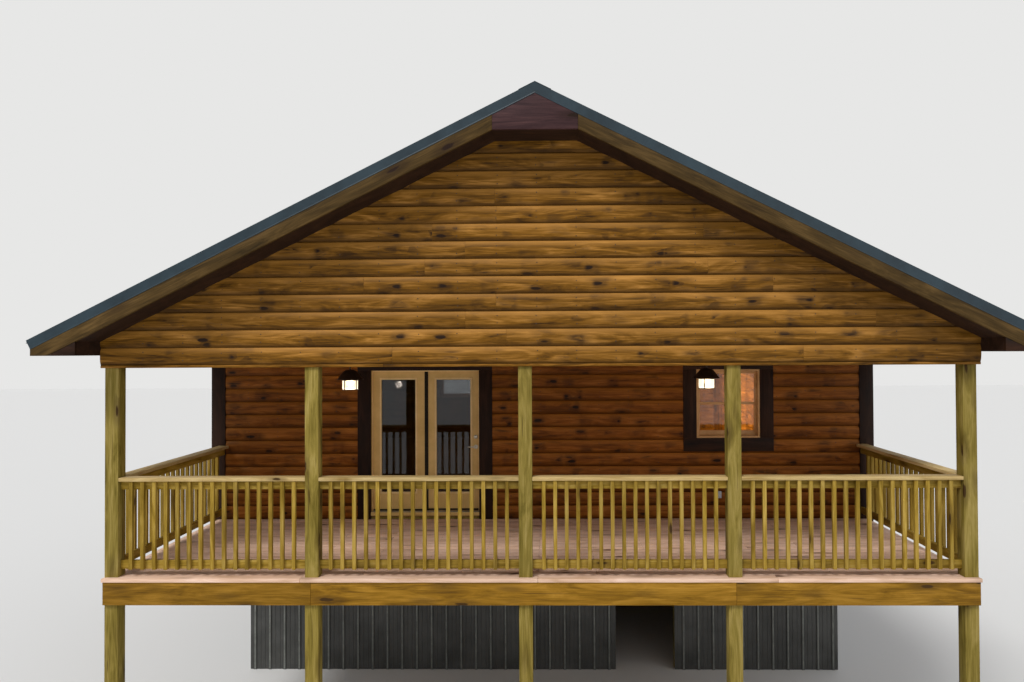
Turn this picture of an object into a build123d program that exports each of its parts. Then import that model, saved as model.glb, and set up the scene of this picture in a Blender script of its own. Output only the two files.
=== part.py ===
from build123d import *
from math import atan, cos, degrees, floor, pi, sin
import os

# Log cabin with a full-width front porch under one gable roof, in millimetres.
# X runs to the right seen from the front, Y runs from the front to the back, Z is up from the ground.
# The origin is on the ground under the middle of the roof.

# Heights
DECK_TOP = 2600
FLOOR_STEP = 50
HEAD_HEIGHT = 2058
HEADER_DEPTH = 382
HEEL = 187
FASCIA_DEPTH = 123

# Plan
HOUSE_WIDTH = 9144
HOUSE_LENGTH = 9600
PORCH_DEPTH = 2700
RAKE_OVERHANG = 450
EAVE_OVERHANG = 388
METAL_LAP = 40
SKIRT_SETBACK = 1280

# Log cladding and walls
COURSE = 181
LOG_CREST = 30
LOG_GROOVE = 6
WALL_CORE = 114
CORNER_BOARD = 184
TRIM_WIDTH = 184
TRIM_PROUD = 8

# Timber sizes
POST = 140
BOARD = 38
RIM_DEPTH = 235
DECKING = 38
DECK_NOSE = 12
BALUSTER = 38
RAIL_DEPTH = 89
PANEL = 12

# Porch frame: how far the corner posts stand in from the house, and the other posts' centres
POST_INSET = 92
INNER_POSTS = [-2329, -124, 2019]
BEAM_DEPTH = 240
BEAM_WRAP = 37
GABLE_LAP = 12

# Railing, heights over the deck
CAP_TOP = 1025
RAIL_FOOT = 76
BALUSTER_PITCH = 121
BALUSTER_FACE = 12

# Roof
SLOPE = 0.5
METAL = 6
RIB_HEIGHT = 18
RIB_PITCH = 229
RIB_FOOT = 60
RIB_CREST = 26
SHEATHING = 16
BARGE_DEPTH = 184
GUSSET_HALF = 420
RAKE_FACE = 100
RAKE_METAL = 4
RAKE_FLANGE = 70
CAP_LEG = 160
RIDGE_SLOT = 15

# Door, its width taken between the jambs: a fixed leaf on the left and a hinged leaf on the right
DOOR_CENTRE = -1604
DOOR_WIDTH = 1504
JAMB = 38
MULLION = 40
MULLION_RECESS = 12
SILL = 46
LEAF = 44
LEAF_GAP = 8
LEAF_SIDE = 128
LEAF_TOP_RAIL = 130
LEAF_BOTTOM_RAIL = 264
LITE_FRAME = 26
LITE_PROUD = 7
GLASS = 6

# Door furniture, with heights over the floor
HANDLE_HEIGHT = 936
DEADBOLT_RISE = 138
BACKSET = 46
ROSE_RADIUS = 30
ROUND_SIDES = 20
ROSE = 10
LEVER_REACH = 40
LEVER_LENGTH = 110
LEVER_HEIGHT = 20
LEVER_THICKNESS = 14
DEADBOLT = 22
HINGE_INSET = 250
KNUCKLE_RADIUS = 7
KNUCKLE_LENGTH = 50
KNUCKLE_GAP = 0.3
HINGE_PLATE = 3
HINGE_PLATE_WIDTH = 32

# Double-hung windows
WINDOW_WIDTH = 872
WINDOW_HEIGHT = 947
WINDOW_FRAME = 28
SASH = 34
SASH_FOOT = 70
SASH_THICKNESS = 28
SASH_SETBACK = 20
FRONT_WINDOW_X = 2591
SIDE_WINDOWS = 2
BACK_WINDOW_X = 2300

# Floor and crawl space
JOIST_SPACING = 610
FLOOR_BOARD = 22
SKIRT_THICKNESS = 40
SKIRT_RIB = 19
CRAWL_LEFT = 1130
CRAWL_WIDTH = 910
CRAWL_HEADER = 443

# Lanterns hung half way back under the porch ceiling
LANTERN_X = [-2286, 2017]
LANTERN_DROP = 455
CANOPY_RADIUS = 65
CANOPY = 24
STEM_RADIUS = 10
SHADE_RADIUS = 155
SHADE_TOP_RADIUS = 50
SHADE_HEIGHT = 120
LANTERN_GLASS_RADIUS = 100
LANTERN_GLASS_HEIGHT = 125

# Worked out from the sizes above
ROOF_LENGTH = RAKE_OVERHANG + PORCH_DEPTH + HOUSE_LENGTH + RAKE_OVERHANG
FRONT = -ROOF_LENGTH / 2 + RAKE_OVERHANG
BACK = ROOF_LENGTH / 2 - RAKE_OVERHANG
WALL_FACE = FRONT + PORCH_DEPTH
CORE_FRONT = WALL_FACE + LOG_CREST
CORE_BACK = BACK - LOG_CREST
CORE_MIDDLE = (CORE_FRONT + CORE_BACK) / 2
HOUSE_HALF = HOUSE_WIDTH / 2
CORE_HALF = HOUSE_HALF - LOG_CREST
SKIRT_FRONT = WALL_FACE + SKIRT_SETBACK
POST_OUTER = HOUSE_HALF - POST_INSET
POST_INNER = POST_OUTER - POST
POST_X = [-POST_OUTER + POST / 2] + INNER_POSTS + [POST_OUTER - POST / 2]
SIDE_BEAM_HALF = POST_OUTER + BEAM_WRAP
FASCIA_EDGE = HOUSE_HALF + EAVE_OVERHANG
EAVE_EDGE = FASCIA_EDGE + METAL_LAP
FLOOR_TOP = DECK_TOP + FLOOR_STEP
FLOOR_UNDER = FLOOR_TOP - FLOOR_BOARD
JOIST_FOOT = FLOOR_UNDER - RIM_DEPTH
CRAWL_RIGHT = CRAWL_LEFT + CRAWL_WIDTH
CRAWL_HEAD = JOIST_FOOT - CRAWL_HEADER
HEAD = DECK_TOP + HEAD_HEIGHT
CEILING = HEAD + HEADER_DEPTH
BEAM_FOOT = CEILING - BEAM_DEPTH
GABLE_FOOT = BEAM_FOOT - GABLE_LAP
ROOF_BUILD = METAL + SHEATHING
UNDER_BARGE = ROOF_BUILD + BARGE_DEPTH
PITCH = atan(SLOPE)
ROOF_APEX = CEILING + HEEL + SLOPE * CORE_HALF + ROOF_BUILD / cos(PITCH)


def roof_z(x, depth=0):
    """Height of the roof surface over the ground, or of a layer that many millimetres under it."""
    return ROOF_APEX - SLOPE * abs(x) - depth / cos(PITCH)


SOFFIT = roof_z(FASCIA_EDGE, ROOF_BUILD) - FASCIA_DEPTH
GUSSET_FOOT = roof_z(GUSSET_HALF, UNDER_BARGE)


def block(x0, x1, y0, y1, z0, z1):
    """A square-cut piece between two corners."""
    size = (x1 - x0, y1 - y0, z1 - z0)
    middle = ((x0 + x1) / 2, (y0 + y1) / 2, (z0 + z1) / 2)
    return Pos(*middle) * Box(*size)


def upright(points, y0, y1):
    """A flat piece with its outline in X and Z, between two places along Y."""
    face = make_face(Plane.XZ * Polyline(*points, close=True))
    return Pos(0, y0, 0) * extrude(face, y1 - y0, dir=(0, 1, 0))


def rounded(radius, length, top_radius=None):
    """An upright round piece of many flat sides about its middle, tapering if it has a second radius."""
    inset = 0 if top_radius is None else (radius - top_radius) * cos(pi / ROUND_SIDES)
    foot = Pos(0, 0, -length / 2) * RegularPolygon(radius, ROUND_SIDES)
    return extrude(foot, length, taper=degrees(atan(inset / length)))


def fused(pieces):
    """One solid from pieces that touch."""
    first, *rest = pieces
    for piece in rest:
        first = first + piece
    return first.clean()


def mirrored(piece):
    """The same piece on the other side of the cabin."""
    return mirror(piece, about=Plane.YZ)


def turned_back(piece):
    """The same piece at the other end of the roof."""
    return mirror(piece, about=Plane.XZ)


def save(name, *pieces):
    """Writes one node."""
    solids = [solid for piece in pieces for solid in piece.solids()]
    shape = solids[0] if len(solids) == 1 else Compound(children=solids)
    shape.label = name
    export_step(shape, f"parts/{name}.step")


def log_face(length, z0, z1):
    """Half-log courses along X, their backs on the plane Y = 0 and their rounds towards -Y."""
    first = floor(z0 / COURSE + 0.001)
    last = floor(z1 / COURSE - 0.001)
    foot = first * COURSE
    top = (last + 1) * COURSE
    edges = [Line((0, foot), (-LOG_GROOVE, foot))]
    for number in range(first, last + 1):
        low = number * COURSE
        high = low + COURSE
        edges.append(ThreePointArc((-LOG_GROOVE, low), (-LOG_CREST, (low + high) / 2), (-LOG_GROOVE, high)))
    edges.append(Line((-LOG_GROOVE, top), (0, top)))
    edges.append(Line((0, top), (0, foot)))
    face = Plane.YZ * make_face(edges)
    logs = Pos(-length / 2, 0, 0) * extrude(face, length, dir=(1, 0, 0))
    return logs & block(-length, length, -2 * LOG_CREST, 1, z0, z1)


def log_courses(length, z0, z1, base):
    """Log courses between two heights over the ground, counted from a base height."""
    return Pos(0, 0, base) * log_face(length, z0 - base, z1 - base)


# Posts stand on the ground and run through the deck up to the gable beam
def porch_posts():
    for number, x in enumerate(POST_X, start=1):
        save(f"porch_post_{number}", block(x - POST / 2, x + POST / 2, FRONT, FRONT + POST, 0, BEAM_FOOT))


# Deck: rim boards, joists and the decking
def deck():
    rim_top = DECK_TOP - DECKING
    rim_foot = rim_top - RIM_DEPTH
    save("deck_rim", block(-POST_OUTER, POST_OUTER, FRONT - BOARD, FRONT, rim_foot, rim_top))

    joist_front = FRONT + POST
    joist_back = CORE_FRONT
    pieces = []
    half = POST_OUTER - BOARD
    pieces.append(block(-POST_OUTER, -half, joist_front, joist_back, rim_foot, rim_top))
    pieces.append(block(half, POST_OUTER, joist_front, joist_back, rim_foot, rim_top))
    pieces.append(block(-half, half, joist_front, joist_front + BOARD, rim_foot, rim_top))
    pieces.append(block(-half, half, joist_back - BOARD, joist_back, rim_foot, rim_top))
    count = floor(half / JOIST_SPACING)
    for number in range(-count, count + 1):
        x = number * JOIST_SPACING
        y0 = joist_front + BOARD
        y1 = joist_back - BOARD
        pieces.append(block(x - BOARD / 2, x + BOARD / 2, y0, y1, rim_foot, rim_top))
    save("deck_joists", fused(pieces))

    boards = block(-POST_OUTER - DECK_NOSE, POST_OUTER + DECK_NOSE, FRONT - BOARD - DECK_NOSE, CORE_FRONT,
                   rim_top, DECK_TOP)
    for x in POST_X:
        boards = boards - block(x - POST / 2, x + POST / 2, FRONT, FRONT + POST, rim_top, DECK_TOP)
    save("decking", boards)


# Railing: a flat cap, two rails on edge and square balusters nailed to their outer faces
def railing(length):
    """One panel along X from 0 to its length, its outer side towards -Y and its cap over Y 0 to POST."""
    under_cap = DECK_TOP + CAP_TOP - BOARD
    rail_y = BALUSTER_FACE + BALUSTER
    foot = DECK_TOP + RAIL_FOOT
    pieces = [
        block(0, length, 0, POST, under_cap, DECK_TOP + CAP_TOP),
        block(0, length, rail_y, rail_y + BOARD, under_cap - RAIL_DEPTH, under_cap),
        block(0, length, rail_y, rail_y + BOARD, foot, foot + RAIL_DEPTH),
    ]
    bays = round(length / BALUSTER_PITCH)
    for number in range(1, bays):
        x = number * length / bays
        pieces.append(block(x - BALUSTER / 2, x + BALUSTER / 2, BALUSTER_FACE, rail_y, foot, under_cap))
    return Compound(pieces)


def railings():
    for number in range(1, len(POST_X)):
        x0 = POST_X[number - 1] + POST / 2
        x1 = POST_X[number] - POST / 2
        save(f"railing_front_{number}", Pos(x0, FRONT, 0) * railing(x1 - x0))
    side_length = WALL_FACE - TRIM_PROUD - FRONT - POST
    left = Pos(-POST_OUTER, WALL_FACE - TRIM_PROUD, 0) * Rot(0, 0, -90) * railing(side_length)
    save("railing_sides", left, mirrored(left))


# Walls: a core of framing with log cladding between the corner boards
def window_hole(x, y0, y1):
    return block(x - WINDOW_WIDTH / 2, x + WINDOW_WIDTH / 2, y0, y1, HEAD - WINDOW_HEIGHT, HEAD)


def trim_hole(x, width, foot):
    """The place that the trim boards of a door or window take out of the log cladding."""
    half = width / 2 + TRIM_WIDTH
    return block(x - half, x + half, -2 * LOG_CREST, 0, foot, HEAD + TRIM_WIDTH)


def window_trim_hole(x):
    return trim_hole(x, WINDOW_WIDTH, HEAD - WINDOW_HEIGHT - TRIM_WIDTH)


def front_walls():
    door_left = DOOR_CENTRE - DOOR_WIDTH / 2 - JAMB
    door_right = DOOR_CENTRE + DOOR_WIDTH / 2 + JAMB
    core = block(-CORE_HALF, CORE_HALF, 0, WALL_CORE, FLOOR_TOP, CEILING)
    logs = log_courses(2 * (HOUSE_HALF - CORNER_BOARD), DECK_TOP, CEILING, DECK_TOP)
    logs = logs - trim_hole(DOOR_CENTRE, DOOR_WIDTH, 0) - window_trim_hole(FRONT_WINDOW_X)
    wall = core + logs
    wall = wall - window_hole(FRONT_WINDOW_X, -1, WALL_CORE + 1)
    wall = wall - block(door_left, door_right, -1, WALL_CORE + 1, 0, HEAD + JAMB)
    wall = Pos(0, CORE_FRONT, 0) * wall
    save("front_wall_left", wall & block(-HOUSE_WIDTH, door_left, FRONT, BACK, 0, ROOF_APEX))
    save("front_wall_right", wall & block(door_right, HOUSE_WIDTH, FRONT, BACK, 0, ROOF_APEX))
    save("front_wall_header", wall & block(door_left, door_right, FRONT, BACK, 0, ROOF_APEX))


def side_window_places():
    """Window centres along a side wall, measured from its middle."""
    span = CORE_BACK - CORE_FRONT
    return [span * ((number + 0.5) / SIDE_WINDOWS - 0.5) for number in range(SIDE_WINDOWS)]


def plain_wall(core_length, log_length, windows, log_top):
    """A wall along X with its core behind Y = 0 and its logs in front."""
    wall = log_courses(log_length, JOIST_FOOT, log_top, DECK_TOP)
    for x in windows:
        wall = wall - window_trim_hole(x)
    wall = wall + block(-core_length / 2, core_length / 2, 0, WALL_CORE, FLOOR_TOP, CEILING)
    for x in windows:
        wall = wall - window_hole(x, -1, WALL_CORE + 1)
    return wall


def other_walls():
    inner_span = CORE_BACK - CORE_FRONT - 2 * WALL_CORE
    log_span = BACK - WALL_FACE - 2 * CORNER_BOARD
    side = plain_wall(inner_span, log_span, side_window_places(), SOFFIT)
    save("right_wall", Pos(CORE_HALF, CORE_MIDDLE, 0) * Rot(0, 0, 90) * side)
    save("left_wall", Pos(-CORE_HALF, CORE_MIDDLE, 0) * Rot(0, 0, -90) * side)
    log_span = 2 * (HOUSE_HALF - CORNER_BOARD)
    back = plain_wall(2 * CORE_HALF, log_span, [-BACK_WINDOW_X, BACK_WINDOW_X], GABLE_FOOT)
    save("back_wall", Pos(0, CORE_BACK, 0) * Rot(0, 0, 180) * back)


# Gables: log cladding on a framed triangle, its foot lapping over what is below
def gable(log_half, core_half, core_foot):
    """A gable along X with its core behind Y = 0 and its logs in front."""
    shoulder = roof_z(core_half, ROOF_BUILD)
    outline = [(-core_half, core_foot), (core_half, core_foot), (core_half, shoulder),
               (0, roof_z(0, ROOF_BUILD)), (-core_half, shoulder)]
    core = upright(outline, 0, WALL_CORE)
    shoulder = roof_z(log_half, UNDER_BARGE)
    outline = [(-log_half, GABLE_FOOT), (log_half, GABLE_FOOT), (log_half, shoulder),
               (GUSSET_HALF, GUSSET_FOOT), (-GUSSET_HALF, GUSSET_FOOT), (-log_half, shoulder)]
    logs = log_courses(2 * log_half, GABLE_FOOT, ROOF_APEX, GABLE_FOOT)
    return core + (logs & upright(outline, -2 * LOG_CREST, 1))


def gables():
    save("front_gable", Pos(0, FRONT, 0) * gable(SIDE_BEAM_HALF, SIDE_BEAM_HALF, CEILING))
    back = gable(HOUSE_HALF, CORE_HALF, CEILING + PANEL)
    for x in (-BACK_WINDOW_X, BACK_WINDOW_X):
        back = back - window_trim_hole(x)
    save("back_gable", Pos(0, CORE_BACK, 0) * Rot(0, 0, 180) * back)


# Beams on the posts, and the ceilings
def beams_and_ceilings():
    save("front_beam", block(-SIDE_BEAM_HALF, SIDE_BEAM_HALF, FRONT, FRONT + POST, BEAM_FOOT, CEILING))
    side = block(POST_INNER, SIDE_BEAM_HALF, FRONT + POST, WALL_FACE - TRIM_PROUD, BEAM_FOOT, CEILING)
    save("side_beams", mirrored(side), side)
    porch = block(-POST_INNER, POST_INNER, FRONT + POST, WALL_FACE, CEILING - PANEL, CEILING)
    house = block(-CORE_HALF, CORE_HALF, CORE_FRONT, CORE_BACK, CEILING, CEILING + PANEL)
    save("ceilings", porch, house)


# Roof: ribbed metal on sheathing, with a ridge cap
def metal_slope():
    """The right-hand slope of ribbed metal."""
    along = Vector(cos(PITCH), 0, -sin(PITCH))
    start = Vector(0, 0, ROOF_APEX) + along * RIDGE_SLOT
    plane = Plane(origin=start, x_dir=(0, 1, 0), z_dir=along)
    half = ROOF_LENGTH / 2 - RAKE_METAL
    ribs = floor(half / RIB_PITCH - 0.5)
    outline = [(-half, -METAL), (-half, 0)]
    for number in range(-ribs, ribs + 1):
        y = number * RIB_PITCH
        outline += [(y - RIB_FOOT / 2, 0), (y - RIB_CREST / 2, RIB_HEIGHT)]
        outline += [(y + RIB_CREST / 2, RIB_HEIGHT), (y + RIB_FOOT / 2, 0)]
    outline += [(half, 0), (half, -METAL)]
    face = make_face(plane * Polyline(*outline, close=True))
    return extrude(face, EAVE_EDGE / cos(PITCH) - RIDGE_SLOT, dir=along)


def slope_strip(x0, x1, top, bottom, y0, y1):
    """A layer of the right-hand slope between two depths under the roof surface."""
    points = [(x0, roof_z(x0, top)), (x1, roof_z(x1, top)),
              (x1, roof_z(x1, bottom)), (x0, roof_z(x0, bottom))]
    return upright(points, y0, y1)


def roof():
    right = metal_slope()
    save("roof_right", right)
    save("roof_left", mirrored(right))
    half = ROOF_LENGTH / 2 - RAKE_METAL
    deck_half = slope_strip(RIDGE_SLOT, FASCIA_EDGE, METAL, ROOF_BUILD, -half, half)
    save("roof_sheathing", deck_half, mirrored(deck_half))
    under_cap = -RIB_HEIGHT - RAKE_METAL
    leg = slope_strip(0, CAP_LEG, under_cap - RAKE_METAL, under_cap, -ROOF_LENGTH / 2, ROOF_LENGTH / 2)
    save("ridge_cap", fused([leg, mirrored(leg)]))


# Rake: metal trim, barge boards with the apex gusset, and the boxed soffit behind them
def rakes():
    front = -ROOF_LENGTH / 2
    top = -RIB_HEIGHT - RAKE_METAL
    face = slope_strip(0, EAVE_EDGE, top, top + RAKE_FACE, front, front + RAKE_METAL)
    flange = slope_strip(0, EAVE_EDGE, top, -RIB_HEIGHT, front + RAKE_METAL, front + RAKE_FLANGE)
    trim = fused([face, mirrored(face), flange, mirrored(flange)])
    save("rake_trim", trim, turned_back(trim))

    shoulder = roof_z(SIDE_BEAM_HALF, UNDER_BARGE)
    outline = [(0, roof_z(0, ROOF_BUILD)), (FASCIA_EDGE, roof_z(FASCIA_EDGE, ROOF_BUILD)),
               (FASCIA_EDGE, SOFFIT), (SIDE_BEAM_HALF, SOFFIT), (SIDE_BEAM_HALF, shoulder),
               (GUSSET_HALF, GUSSET_FOOT), (0, GUSSET_FOOT)]
    barge_front = front + RAKE_METAL
    barge = upright(outline, barge_front, barge_front + BOARD)
    barge = fused([barge, mirrored(barge)])
    save("barge_boards", barge, turned_back(barge))

    lift = PANEL / cos(PITCH)
    riser = SIDE_BEAM_HALF + PANEL
    outline = [(0, GUSSET_FOOT), (GUSSET_HALF, GUSSET_FOOT), (SIDE_BEAM_HALF, shoulder),
               (SIDE_BEAM_HALF, SOFFIT + PANEL), (riser, SOFFIT + PANEL),
               (riser, roof_z(riser, UNDER_BARGE) + lift), (GUSSET_HALF, GUSSET_FOOT + lift),
               (0, GUSSET_FOOT + lift)]
    soffit = upright(outline, barge_front + BOARD, FRONT)
    soffit = fused([soffit, mirrored(soffit)])
    save("rake_soffits", soffit, turned_back(soffit))


# Boxed eaves: a fascia board and a level soffit along each side
def eaves():
    y0 = -ROOF_LENGTH / 2 + RAKE_METAL + BOARD
    inner = FASCIA_EDGE - BOARD / 2
    points = [(inner, SOFFIT), (FASCIA_EDGE, SOFFIT), (FASCIA_EDGE, roof_z(FASCIA_EDGE, ROOF_BUILD)),
              (inner, roof_z(inner, ROOF_BUILD))]
    fascia = upright(points, y0, -y0)
    porch = block(SIDE_BEAM_HALF, inner, y0, WALL_FACE - TRIM_PROUD, SOFFIT, SOFFIT + PANEL)
    house = block(HOUSE_HALF + TRIM_PROUD, inner, WALL_FACE - TRIM_PROUD, BACK + TRIM_PROUD,
                  SOFFIT, SOFFIT + PANEL)
    rear = block(SIDE_BEAM_HALF, inner, BACK + TRIM_PROUD, -y0, SOFFIT, SOFFIT + PANEL)
    eave = fused([fascia, porch, house, rear])
    save("boxed_eaves", eave, mirrored(eave))


# Corner boards: two boards at each corner of the house
def corner_boards():
    outer = HOUSE_HALF + TRIM_PROUD
    inner = HOUSE_HALF - CORNER_BOARD
    face_front = block(inner, outer, WALL_FACE - TRIM_PROUD, CORE_FRONT, DECK_TOP, SOFFIT)
    side_front = block(CORE_HALF, outer, CORE_FRONT, WALL_FACE + CORNER_BOARD, JOIST_FOOT, SOFFIT)
    front = face_front + side_front
    face_back = block(inner, outer, CORE_BACK, BACK + TRIM_PROUD, JOIST_FOOT, GABLE_FOOT)
    side_back = block(CORE_HALF, outer, BACK - CORNER_BOARD, CORE_BACK, JOIST_FOOT, SOFFIT)
    back = face_back + side_back
    save("corner_boards", front, mirrored(front), back, mirrored(back))


# Door: frame with a centre post, a fixed leaf, a hinged leaf, glass, hinges, lever and deadbolt
LEAF_BACK = CORE_FRONT + WALL_CORE
LEAF_FRONT = LEAF_BACK - LEAF
BAY_WIDTH = (DOOR_WIDTH - MULLION) / 2
BAY_FOOT = FLOOR_TOP + SILL
FIXED_BAY = DOOR_CENTRE - DOOR_WIDTH / 2
HINGED_BAY = DOOR_CENTRE + MULLION / 2


def lite(bay, y0, y1, grow=0):
    """The glass opening of a leaf, or a block larger than it all round."""
    return block(bay + LEAF_SIDE - grow, bay + BAY_WIDTH - LEAF_SIDE + grow, y0, y1,
                 BAY_FOOT + LEAF_BOTTOM_RAIL - grow, HEAD - LEAF_TOP_RAIL + grow)


def leaf(bay, gap):
    """A door leaf in a bay of the frame, with a raised frame round its glass opening."""
    slab = block(bay + gap, bay + BAY_WIDTH - gap, LEAF_FRONT, LEAF_BACK, BAY_FOOT + gap, HEAD - gap)
    slab = slab + lite(bay, LEAF_FRONT - LITE_PROUD, LEAF_BACK + LITE_PROUD, LITE_FRAME)
    return slab - lite(bay, LEAF_FRONT - LITE_PROUD, LEAF_BACK + LITE_PROUD)


def leaf_glass(bay):
    middle = (LEAF_FRONT + LEAF_BACK) / 2
    return lite(bay, middle - GLASS / 2, middle + GLASS / 2)


def hinges():
    """Butt hinges of the hinged leaf: the leaf's halves, and the centre post's halves below them."""
    low = BAY_FOOT + HINGE_INSET
    high = HEAD - HINGE_INSET
    plate_back = LEAF_BACK + HINGE_PLATE
    leaf_side = []
    post_side = []
    for z in (low, (low + high) / 2, high):
        upper = z + KNUCKLE_GAP
        barrel = rounded(KNUCKLE_RADIUS, KNUCKLE_LENGTH)
        barrel = Pos(HINGED_BAY, LEAF_BACK + KNUCKLE_RADIUS + 1, 0) * barrel
        leaf_plate = block(HINGED_BAY, HINGED_BAY + LEAF_GAP + HINGE_PLATE_WIDTH, LEAF_BACK, plate_back,
                           upper, upper + KNUCKLE_LENGTH)
        post_plate = block(HINGED_BAY - HINGE_PLATE_WIDTH, HINGED_BAY, LEAF_BACK, plate_back,
                           z - KNUCKLE_LENGTH, z)
        leaf_side.append(Pos(0, 0, upper + KNUCKLE_LENGTH / 2) * barrel + leaf_plate)
        post_side.append(Pos(0, 0, z - KNUCKLE_LENGTH / 2) * barrel + post_plate)
    return leaf_side, post_side


def lever_and_bolt(face, side):
    """The lever and the deadbolt on one face of the hinged leaf; side is -1 outside and 1 inside."""
    x = HINGED_BAY + BAY_WIDTH - LEAF_GAP - BACKSET
    z = FLOOR_TOP + HANDLE_HEIGHT
    grip = face + side * LEVER_REACH
    rose = Pos(x, face + side * ROSE / 2, z) * Rot(90, 0, 0) * rounded(ROSE_RADIUS, ROSE)
    neck = Pos(x, (face + grip) / 2, z) * Rot(90, 0, 0) * rounded(LEVER_HEIGHT / 2, LEVER_REACH)
    y = grip - LEVER_THICKNESS / 2
    half = LEVER_HEIGHT / 2
    bar = block(x - LEVER_LENGTH, x + half, y, y + LEVER_THICKNESS, z - half, z + half)
    high = z + DEADBOLT_RISE
    bolt = Pos(x, face + side * DEADBOLT / 2, high) * Rot(90, 0, 0) * rounded(ROSE_RADIUS, DEADBOLT)
    return [fused([rose, neck, bar]), bolt]


def door():
    left = DOOR_CENTRE - DOOR_WIDTH / 2
    right = DOOR_CENTRE + DOOR_WIDTH / 2
    frame = [
        block(left - JAMB, left, CORE_FRONT, LEAF_BACK, FLOOR_TOP, HEAD + JAMB),
        block(right, right + JAMB, CORE_FRONT, LEAF_BACK, FLOOR_TOP, HEAD + JAMB),
        block(left, right, CORE_FRONT, LEAF_BACK, HEAD, HEAD + JAMB),
        block(left, right, WALL_FACE - TRIM_PROUD, LEAF_BACK, FLOOR_TOP, BAY_FOOT),
        block(HINGED_BAY - MULLION, HINGED_BAY, LEAF_FRONT + MULLION_RECESS, LEAF_BACK, FLOOR_TOP, HEAD),
    ]
    save("door_frame", fused(frame))

    trim_front = WALL_FACE - TRIM_PROUD
    trim = block(left - TRIM_WIDTH, right + TRIM_WIDTH, trim_front, CORE_FRONT, DECK_TOP,
                 HEAD + TRIM_WIDTH)
    save("door_trim", trim - block(left, right, trim_front, CORE_FRONT, DECK_TOP, HEAD))

    save("fixed_leaf", leaf(FIXED_BAY, 0))
    save("hinged_leaf", leaf(HINGED_BAY, LEAF_GAP))
    save("hinged_glass", leaf_glass(HINGED_BAY))
    leaf_side, post_side = hinges()
    furniture = lever_and_bolt(LEAF_FRONT, -1) + lever_and_bolt(LEAF_BACK, 1)
    save("door_hardware", *furniture, *leaf_side)
    save("frame_hinges", *post_side)


# Double-hung windows in trim boards: the upper sash in the outer track and the lower one behind it
def sash(x0, x1, y, z0, z1, foot):
    """A sash with its outer face at y and a bottom rail of its own depth, and its pane."""
    back = y + SASH_THICKNESS
    middle = y + SASH_THICKNESS / 2
    left = x0 + SASH
    right = x1 - SASH
    low = z0 + foot
    high = z1 - SASH
    frame = block(x0, x1, y, back, z0, z1) - block(left, right, y, back, low, high)
    return frame, block(left, right, middle - GLASS / 2, middle + GLASS / 2, low, high)


def window_pieces(x):
    """Frame, glass and trim of one window in a wall along X, its core behind Y = 0."""
    x0 = x - WINDOW_WIDTH / 2
    x1 = x + WINDOW_WIDTH / 2
    z0 = HEAD - WINDOW_HEIGHT
    inner = (x0 + WINDOW_FRAME, x1 - WINDOW_FRAME)
    low = z0 + WINDOW_FRAME
    high = HEAD - WINDOW_FRAME
    middle = (low + high) / 2
    frame = block(x0, x1, -LOG_CREST, WALL_CORE, z0, HEAD) - block(*inner, -LOG_CREST, WALL_CORE, low, high)
    upper, upper_pane = sash(*inner, SASH_SETBACK, middle - SASH / 2, high, SASH)
    lower, lower_pane = sash(*inner, SASH_SETBACK + SASH_THICKNESS, low, middle + SASH / 2, SASH_FOOT)
    face = -LOG_CREST - TRIM_PROUD
    trim = block(x0 - TRIM_WIDTH, x1 + TRIM_WIDTH, face, 0, z0 - TRIM_WIDTH, HEAD + TRIM_WIDTH)
    trim = trim - block(x0, x1, face, 0, z0, HEAD)
    return fused([frame, upper, lower]), [upper_pane, lower_pane], trim


def windows():
    right = Pos(CORE_HALF, CORE_MIDDLE, 0) * Rot(0, 0, 90)
    left = Pos(-CORE_HALF, CORE_MIDDLE, 0) * Rot(0, 0, -90)
    back = Pos(0, CORE_BACK, 0) * Rot(0, 0, 180)
    places = [(Pos(0, CORE_FRONT, 0), FRONT_WINDOW_X), (back, -BACK_WINDOW_X), (back, BACK_WINDOW_X)]
    for x in side_window_places():
        places += [(right, x), (left, x)]
    frames = []
    panes = [leaf_glass(FIXED_BAY)]
    trims = []
    for place, x in places:
        frame, glass, trim = window_pieces(x)
        frames.append(place * frame)
        panes += [place * pane for pane in glass]
        trims.append(place * trim)
    save("window_frames", *frames)
    save("glazing", *panes)
    save("window_trim", *trims)


# House floor on joists that reach out past the skirt under the front wall
def floors():
    save("house_floor", block(-CORE_HALF, CORE_HALF, CORE_FRONT, CORE_BACK, FLOOR_UNDER, FLOOR_TOP))
    pieces = [
        block(-CORE_HALF, CORE_HALF, CORE_FRONT, CORE_FRONT + BOARD, JOIST_FOOT, FLOOR_UNDER),
        block(-CORE_HALF, CORE_HALF, CORE_BACK - BOARD, CORE_BACK, JOIST_FOOT, FLOOR_UNDER),
    ]
    count = floor(CORE_HALF / JOIST_SPACING)
    places = [number * JOIST_SPACING for number in range(-count, count + 1)]
    edge = CORE_HALF - BOARD / 2
    for x in [-edge] + places + [edge]:
        pieces.append(block(x - BOARD / 2, x + BOARD / 2, CORE_FRONT, CORE_BACK, JOIST_FOOT, FLOOR_UNDER))
    save("floor_joists", fused(pieces))


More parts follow.
